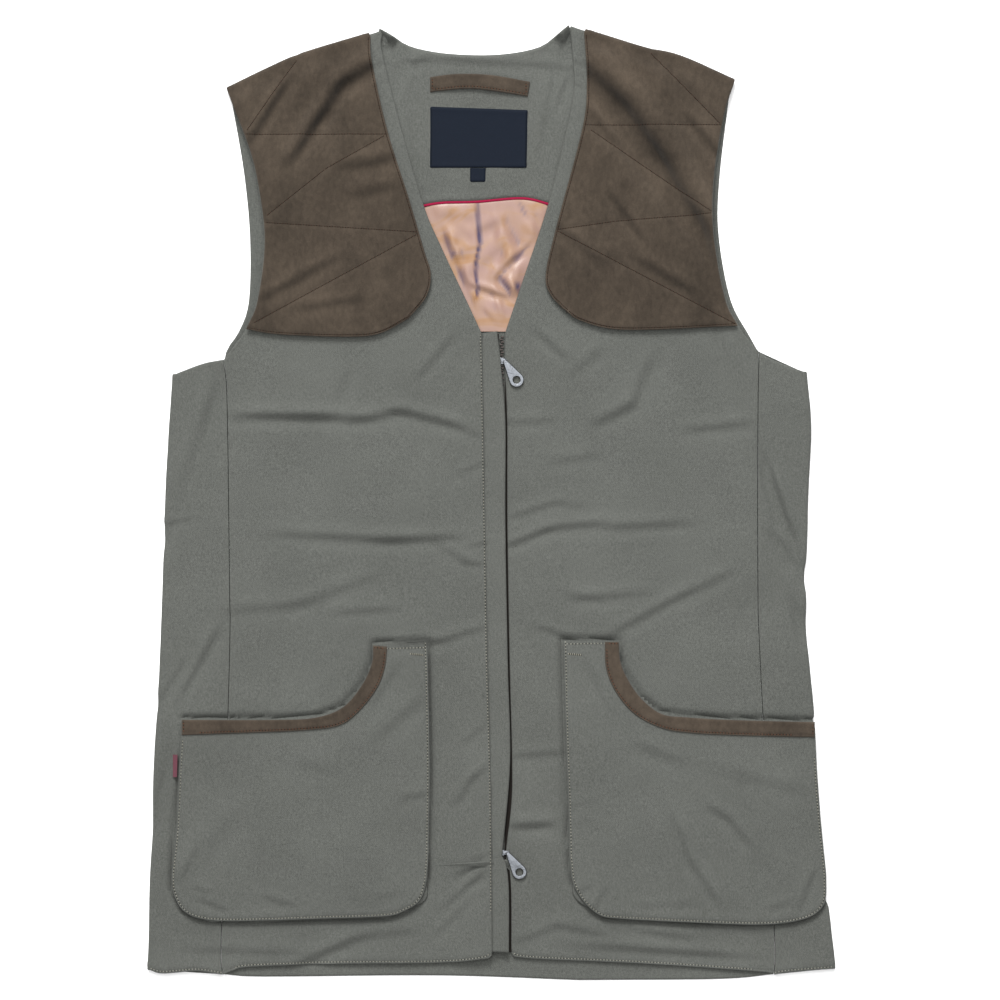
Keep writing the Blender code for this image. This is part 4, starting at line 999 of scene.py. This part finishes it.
# Painted shade and painted light: the nickel's colour is near black on the sliders' and tabs' sides and bevels and
# lighter on their flat tops, by which way each face turns.
facing_up = nickel_tree.nodes.new("ShaderNodeSeparateXYZ")
nickel_tree.links.new(nickel_tree.nodes.new("ShaderNodeTexCoord").outputs["Normal"], facing_up.inputs[0])
painted_light_by_facing = maths(nickel_tree, "ABSOLUTE", facing_up.outputs[2], 0.0)
nickel_tree.links.new(shades(nickel_tree, painted_light_by_facing, [(0.60, (0.012, 0.011, 0.010)), (0.90, (0.05, 0.05, 0.05)),
                                                    (0.99, (0.165, 0.175, 0.19))]),
                      nickel_shader.inputs["Base Color"])
emboss(nickel_tree, nickel_shader, grain(nickel_tree, 380.0, detail=3.0, distortion=0.6), 0.0006, 0.8)


def round_over(shape, edges, reach):
    bmesh.ops.bevel(shape, geom=edges, offset=reach, offset_type="OFFSET", segments=3, profile=0.5, affect="EDGES",
                    material=-1)


def soft_block(shape, centre, size, bevel, turn=0.0):
    """A block with rounded edges."""
    made = bmesh.ops.create_cube(shape, size=1.0, matrix=Matrix.Translation(centre) @ Matrix.Rotation(turn, 4, "Z")
                                 @ Matrix.Diagonal((*size, 1.0)))
    round_over(shape, list({item for vert in made["verts"] for item in vert.link_edges}), bevel)


def pull_outline(count):
    """The tab's edge: a narrow heel at the hinge, straight sides, and the ring's round end."""
    lean = math.asin((PULL_RING - PULL_NECK) / PULL_REACH)
    sweep = math.pi / 2 + lean
    ring = [Vector((PULL_REACH + PULL_RING * math.cos(turn), PULL_RING * math.sin(turn)))
            for turn in [-sweep + 2 * sweep * step / 40 for step in range(41)]]
    heel = [Vector((-PULL_HEEL, 0.0))]
    run = heel + [Vector((-0.5, -PULL_NECK))] + ring + [Vector((-0.5, PULL_NECK))] + heel
    reach = tape_measure(run)
    return [at_share(run, reach, step / count) for step in range(count)]


for name, across, level in (("top", 11.4, 526.0), ("bottom", 13.8, 108.5)):
    body = bmesh.new()
    soft_block(body, (CHAIN_MIDDLE, level, 3.8), (4.4, 6.0, 2.6), 0.6)
    soft_block(body, ((CHAIN_MIDDLE + across) / 2 + 0.4, level, 4.85), (across - CHAIN_MIDDLE + 1.6, 3.6, 0.6), 0.2)
    along = Vector((math.cos(PULL_TURN), math.sin(PULL_TURN), 0.0))
    aside = Vector((-along.y, along.x, 0.0))
    for side in (-1, 1):
        soft_block(body, Vector((across, level, 5.9)) + aside * side * 1.85, (1.0, 0.45, 2.0), 0.18, PULL_TURN)
    soft_block(body, (across, level, HINGE_HEIGHT), (0.6, 4.0, 0.6), 0.2, PULL_TURN)
    fit_out(body, f"slider_{name}_metal", nickel, [f"slider_{name}"])
    tab = bmesh.new()
    around = 56
    outer = pull_outline(around)
    loops = []
    for height in (HINGE_HEIGHT + PULL_WALL / 2, HINGE_HEIGHT - PULL_WALL / 2):
        edge_loop, hole_loop = [], []
        for place in outer:
            toward = Vector((place.x - PULL_REACH, place.y)).normalized()
            hole = Vector((PULL_REACH, 0.0)) + toward * PULL_HOLE
            for flat, row in ((place, edge_loop), (hole, hole_loop)):
                spot = along * flat.x + aside * flat.y
                row.append(tab.verts.new((across + spot.x, level + spot.y, height)))
        loops.append((edge_loop, hole_loop))
    for step in range(around):
        for ring_a, ring_b in ((loops[0][0], loops[0][1]), (loops[0][1], loops[1][1]), (loops[1][1], loops[1][0]),
                               (loops[1][0], loops[0][0])):
            tab.faces.new((ring_a[step - 1], ring_a[step], ring_b[step], ring_b[step - 1]))
    bmesh.ops.recalc_face_normals(tab, faces=tab.faces)
    round_over(tab, [item for item in tab.edges if item.calc_face_angle(0.0) > RIM_ANGLE], PULL_BEVEL)
    fit_out(tab, f"pull_{name}_metal", nickel, [f"pull_{name}"], f"pull_{name}")


# Shoulder patches. Brown suede quilted to the fronts along straight converging lines, its
# inner and lower edges turned and stitched, carried over each shoulder to the seam behind.
PATCH_RISE = 1.8
QUILT_REACH = 7.0
QUILT_DEPTH = 0.6
PATCH_STAND = 2.4
PATCH_GAIN = 1.9
PATCH_CREST = 5.6
PATCH_CELL = 1.6
# Strength of the painted shade and painted light on the suede's crease slopes.
PAINTED_CREASE_SHADE = 0.32
PATCH_FOLDS = fold_table(
    (-131, 695, 59, 46, 6.0, 0.9), (-150, 788, 27, 18, 7.6, 0.8), (148, 752, -54, 45, 8.5, 0.9),
    (109, 684, -51, 34, 6.8, 0.5))
PATCH_CREASES = fold_table(
    (-113, 769, 31, 22, 8.5, 1.5), (-137, 745, 58, 24, 7.6, 1.9), (-157, 715, 58, 26, 6.8, 1.5),
    (-186, 742, 58, 36, 6.0, 1.2), (-104, 694, 10, 25, 7.6, 0.8), (-102, 670, 12, 20, 6.8, 0.5),
    (97, 759, -44, 29, 13.5, 3.0), (129, 722, -54, 38, 15.5, 3.8), (160, 673, -59, 47, 13.5, 3.0),
    (183, 630, -73, 25, 7.6, 1.4), (114, 649, -55, 26, 5.1, 0.7), (148, 598, -31, 31, 6.0, 0.7),
    (93, 727, -54, 20, 6.0, 0.9), (182, 714, -51, 27, 6.0, 0.8), (75, 624, -39, 27, 6.0, 0.5),
    (-166, 594, 29, 41, 6.0, 0.6), (-137, 574, 9, 32, 6.0, 0.4), (-201, 663, -77, 32, 5.1, 0.5))
PATCH_INNER_RIGHT = [(-70, 561.5), (-55, 580), (-51, 599), (-57, 620), (-70, 664), (-88, 721), (-101, 779),
                     (-104, 805)]
PATCH_FOOT_RIGHT = [(-209, 552.5), (-179, 548), (-120, 546), (-94, 549), (-70, 561.5)]
PATCH_INNER_LEFT = [(64, 567), (50, 582), (46, 599), (55, 639), (77, 722), (81, 760), (80, 808)]
PATCH_FOOT_LEFT = [(64, 567), (75, 560), (100, 553), (135, 552), (209, 555.5)]
QUILT_RIGHT = [[(-160, 788), (-207, 721)], [(-209, 718), (-89, 718)], [(-90, 717), (-141, 688), (-190, 649)],
               [(-192, 643), (-63, 635)], [(-63, 633), (-201, 558)]]
QUILT_LEFT = [[(129, 793), (194, 727)], [(79, 726), (196, 726)], [(84, 722), (188, 651)],
              [(56, 637), (105, 644), (188, 651)], [(56, 636), (207, 557)]]


def patch_lift(lines):
    """Suede over the front: pulled down along the quilting, a little full between."""
    def lift(across, level):
        place = Vector((across, level))
        distance = min(nearest_on(rows, place) for rows in lines)
        pull = 1.0 + waver(across, level, 0.6, 7, 7, 6.0)
        sunk = QUILT_DEPTH * pull * math.exp(-(distance / 1.5) ** 2)
        full = 0.35 * (1.0 - math.exp(-(distance / QUILT_REACH) ** 2))
        ripple = waver(across, level, 0.40, 17, 17, 7.0)
        ripple += waver(across, level, 0.12, 6, 6, 17.0)
        near_fold = ramp(shoulder_level(across) - level, 4.0, 20.0)
        folds = fold_height(PATCH_FOLDS, across, level) + crease_height(PATCH_CREASES, across, level)
        bulk = PATCH_CREST * math.tanh((full + ripple + PATCH_GAIN * folds) / PATCH_CREST) * near_fold
        return front_top(across, level) + PATCH_RISE + PATCH_STAND * near_fold - sunk + max(bulk, -PATCH_STAND - 0.5)
    return lift


def crease_light_paint(across, level):
    """Painted shade and painted light: how much darker or lighter the suede is painted on the slopes of the creases,
    by which way they face.
    """
    fall = crease_height(PATCH_CREASES, across, level + 1.5) - crease_height(PATCH_CREASES, across, level - 1.5)
    return ramp(shoulder_level(across) - level, 2.0, 16.0) * min(max(-PAINTED_CREASE_SHADE * fall, -0.5), 0.3)


for side, foot, head, west, east, outward, lines, hems in (
        ("right", PATCH_FOOT_RIGHT, SHOULDER_RIGHT[:4], shifted(ARMHOLE_RIGHT[2:], 1.2), PATCH_INNER_RIGHT,
         OUTWARD_RIGHT, QUILT_RIGHT, {"east": stitched(EDGE_STITCH), "foot": stitched(EDGE_STITCH), "west": folded}),
        ("left", PATCH_FOOT_LEFT, SHOULDER_LEFT[1:], PATCH_INNER_LEFT, shifted(ARMHOLE_LEFT[2:], -1.2),
         OUTWARD_LEFT, QUILT_LEFT, {"west": stitched(EDGE_STITCH), "foot": stitched(EDGE_STITCH), "east": folded})):
    head = inset(head, outward, SHOULDER_BEND)
    west, east = west[:-1] + [head[0]], east[:-1] + [head[-1]]
    panel, borders = cut_panel(foot, head, west, east, PATCH_CELL, patch_lift(lines), hems)
    patch_tree = BVHTree.FromBMesh(panel)
    stitches = bmesh.new()
    inner = east if side == "right" else west
    turn_side = -1 if side == "right" else 1
    for rows in (beside(inner, EDGE_STITCH * turn_side), beside(foot, -EDGE_STITCH)):
        sew_line(stitches, patch_tree, rows)
    for rows in lines:
        for start, end in zip(rows, rows[1:]):
            sew_line(stitches, patch_tree, [start, end], half=0.45)
    line = [borders["head"][index] for index in sorted(borders["head"])]
    fold_under(panel, line, [vert.co.xy - Vector(outward) * SEAM_BEHIND_SHOULDER for vert in line], outward, 0.0)
    patch_cloth = sew_up(panel, f"patch_{side}", 1.3, suede)
    finish_stitches(stitches, f"patch_{side}_stitches", brown_thread, patch_cloth)
    # Painted shade and painted light on the suede's crease slopes, stored for its material.
    write_on(patch_cloth, "painted_crease_light", crease_light_paint)


# Cargo pockets. A bellows band, a cotton face with a scooped opening, and a suede binding
# along the scoop; the wearer's right pocket has a small woven tab in its side.
GUSSET_TUCKED = -3.4
GUSSET_WIDTH = 14.0
GUSSET_PEEPS = [((-58, 72), 7.4, 13.0), ((-236, 52), 5.4, 12.0), ((74, 72), 7.6, 15.0), ((282, 66), 4.4, 10.0)]
FACE_RISE = 3.3
BINDING_RISE = 4.8
POCKETS = {
    "right": {
        "foot": [(-271, 90), (-270, 77), (-262, 61), (-246, 53), (-216, 51), (-148, 53), (-91, 55), (-75, 59),
                 (-61, 68), (-55, 84), (-53, 106)],
        "outer": [(-271, 90), (-267, 129), (-264, 186), (-262, 222)],
        "inner": [(-53, 106), (-52, 175), (-53, 243), (-54, 288)],
        "scoop": [(-262, 222), (-182, 222), (-148, 224), (-125, 233), (-109, 252), (-101, 270), (-100, 285)],
        "top": [(-100, 285), (-54, 288)],
        "bound_to": [(-262, 209), (-205, 211), (-159, 213), (-129, 217), (-112, 229), (-97, 248), (-90, 266),
                     (-88, 284)],
    },
    "left": {
        "foot": [(66, 106), (69, 84), (78, 68), (92, 56), (110, 53), (167, 50), (223, 48), (253, 50), (273, 56),
                 (283, 68), (284, 90)],
        "outer": [(284, 90), (280, 129), (277, 163), (274, 220)],
        "inner": [(66, 106), (65, 152), (63, 209), (61, 289)],
        "scoop": [(108, 288), (109, 273), (114, 259), (126, 241), (144, 227), (167, 224), (201, 222), (274, 220)],
        "top": [(61, 289), (108, 288)],
        "bound_to": [(96, 288), (97, 266), (105, 246), (121, 227), (144, 215), (167, 211), (201, 209), (274, 207)],
    },
}
POCKET_CREASES = fold_table(
    (-65, 157, 10, 12, 4.5, 0.61), (-243, 110, 50, 41, 11.9, 0.6), (-247, 78, -20, 8, 3.6, 0.49),
    (-237, 66, -23, 14, 3.6, 0.59), (-180, 68, -16, 13, 4.5, 0.61), (-86, 74, 14, 11, 4.5, 0.31),
    (-78, 223, 41, 28, 8.5, 0.6), (-150, 183, -18, 17, 8.5, 0.4), (-254, 105, 66, 18, 4.5, 0.49),
    (163, 117, -71, 22, 5.2, 0.94), (180, 85, -57, 25, 5.2, 0.8), (193, 143, -31, 12, 5.2, 0.72),
    (209, 128, -50, 18, 5.2, 0.8), (90, 68, 60, 15, 4.5, 0.49), (78, 78, 25, 10, 3.6, 0.39),
    (143, 193, -21, 23, 7.6, 0.6), (78, 151, 11, 14, 3.6, 0.24), (77, 135, 8, 8, 3.6, 0.24),
    (267, 78, 70, 19, 4.5, 0.61), (245, 65, 19, 11, 4.5, 0.37), (228, 170, -14, 43, 8.5, 0.4),
    (89, 253, -66, 21, 5.2, 0.58), (-89, 253, 59, 22, 5.2, 0.51), (148, 65, 3, 26, 4.5, 0.25))
POCKET_FULLNESS = 0.9
POCKET_GAIN = 1.9
POCKET_STAND = 1.5
MOUTH_STAND = 0.9
FACE_CELL = 2.6


def pocket_top(across, level):
    """The face over its bellows: full in the middle, creased towards its lower corners."""
    middle = -163.0 if across < 0 else 174.0
    bulge = POCKET_FULLNESS * ramp(112.0 - abs(across - middle), 0.0, 50.0) * ramp(level, 52.0, 110.0)
    bulge += POCKET_STAND + MOUTH_STAND * ramp(level, 150.0, 225.0)
    ripple = waver(across, level, 0.6, 46, 38, 15.0)
    ripple += waver(across, level, 0.15, 14, 14, 18.0)
    relief = ripple + POCKET_GAIN * crease_height(POCKET_CREASES, across, level)
    return front_top(across, level) + FACE_RISE + bulge + max(relief, -1.6)


for side, table in POCKETS.items():
    first, last = ("outer", "inner") if side == "right" else ("inner", "outer")
    path = smooth_run(table[first][::-1] + table["foot"][1:-1] + table[last], 2)
    outside, inside = [], beside(path, GUSSET_TUCKED - GUSSET_WIDTH)
    for place, shown in zip(beside(path, 1.0), beside(path, 0.0)):
        peep = sum(size * math.exp(-((place - Vector(spot)).length / reach) ** 2)
                   for spot, size, reach in GUSSET_PEEPS)
        outside.append(shown + (place - shown).normalized() * (GUSSET_TUCKED + peep))
    panel = strip(outside, inside, 3.0, lambda across, level: front_top(across, level) + 1.5, {"foot": folded})
    gusset_cloth = sew_up(panel, f"pocket_gusset_{side}", 1.0, sage_cotton)

    head = table["scoop"] + table["top"] if side == "right" else table["top"] + table["scoop"]
    inward = -EDGE_STITCH if side == "right" else EDGE_STITCH
    panel, _ = cut_panel(table["foot"], head, table[first], table[last], FACE_CELL, pocket_top,
                         {edge: stitched(EDGE_STITCH) for edge in ("foot", "west", "east")})
    face_tree = BVHTree.FromBMesh(panel)
    stitches = bmesh.new()
    top_level = table["top"][0][1] - 3.0
    bar = (-69.0, -57.0) if side == "right" else (64.5, 76.5)
    for rows in (beside(table["outer"], -inward)[:-2], beside(table["foot"], -EDGE_STITCH),
                 beside(table["inner"], inward),
                 [(table["top"][0][0] + 2, top_level), (table["top"][1][0] - 2, top_level + 1)]):
        sew_line(stitches, face_tree, rows)
    for offset in (0.0, 0.7):
        sew_line(stitches, face_tree, [(bar[0], 277.5 + offset), (bar[1], 276.5 + offset)], pitch=1.6)
    face_cloth = sew_up(panel, f"pocket_face_{side}", 1.2, sage_cotton)
    finish_stitches(stitches, f"pocket_face_{side}_stitches", olive_thread, face_cloth)

    foot, head = table["bound_to"], table["scoop"]
    panel = strip(foot, head, 1.8, lambda across, level: pocket_top(across, level) + BINDING_RISE - FACE_RISE,
                  {"foot": stitched(EDGE_STITCH), "head": folded, "west": folded, "east": folded})
    binding_tree = BVHTree.FromBMesh(panel)
    stitches = bmesh.new()
    sew_line(stitches, binding_tree, beside(foot, -EDGE_STITCH)[1:-1])
    for low, high in ((foot[0], head[0]), (foot[-1], head[-1])):
        middle = Vector(foot[len(foot) // 2])
        low, high = Vector(low), Vector(high)
        off = (middle - low).normalized() * 1.8
        sew_line(stitches, binding_tree, [tuple(low.lerp(high, 0.15) + off), tuple(low.lerp(high, 0.85) + off)])
    binding_cloth = sew_up(panel, f"pocket_binding_{side}", 1.0, binding_suede)
    finish_stitches(stitches, f"pocket_binding_{side}_stitches", rusty_thread, binding_cloth)

tab_weave = plain_cloth("burgundy_weave", (0.0968, 0.0363, 0.0472), 0.0006, 0.2)
panel = strip([(-270, 173), (-266.5, 173)], [(-270, 192), (-266, 192)], 1.2,
              lambda across, level: front_top(across, level) + 1.3, {})
bmesh.ops.solidify(panel, geom=panel.faces[:] + panel.edges[:] + panel.verts[:], thickness=0.8)
pocket_tab_piece = fit_out(panel, "pocket_tab_weave", tab_weave, ["pocket_tab"])
pocket_tab_piece.parent = studio.objects["pocket_gusset_right_cloth"]
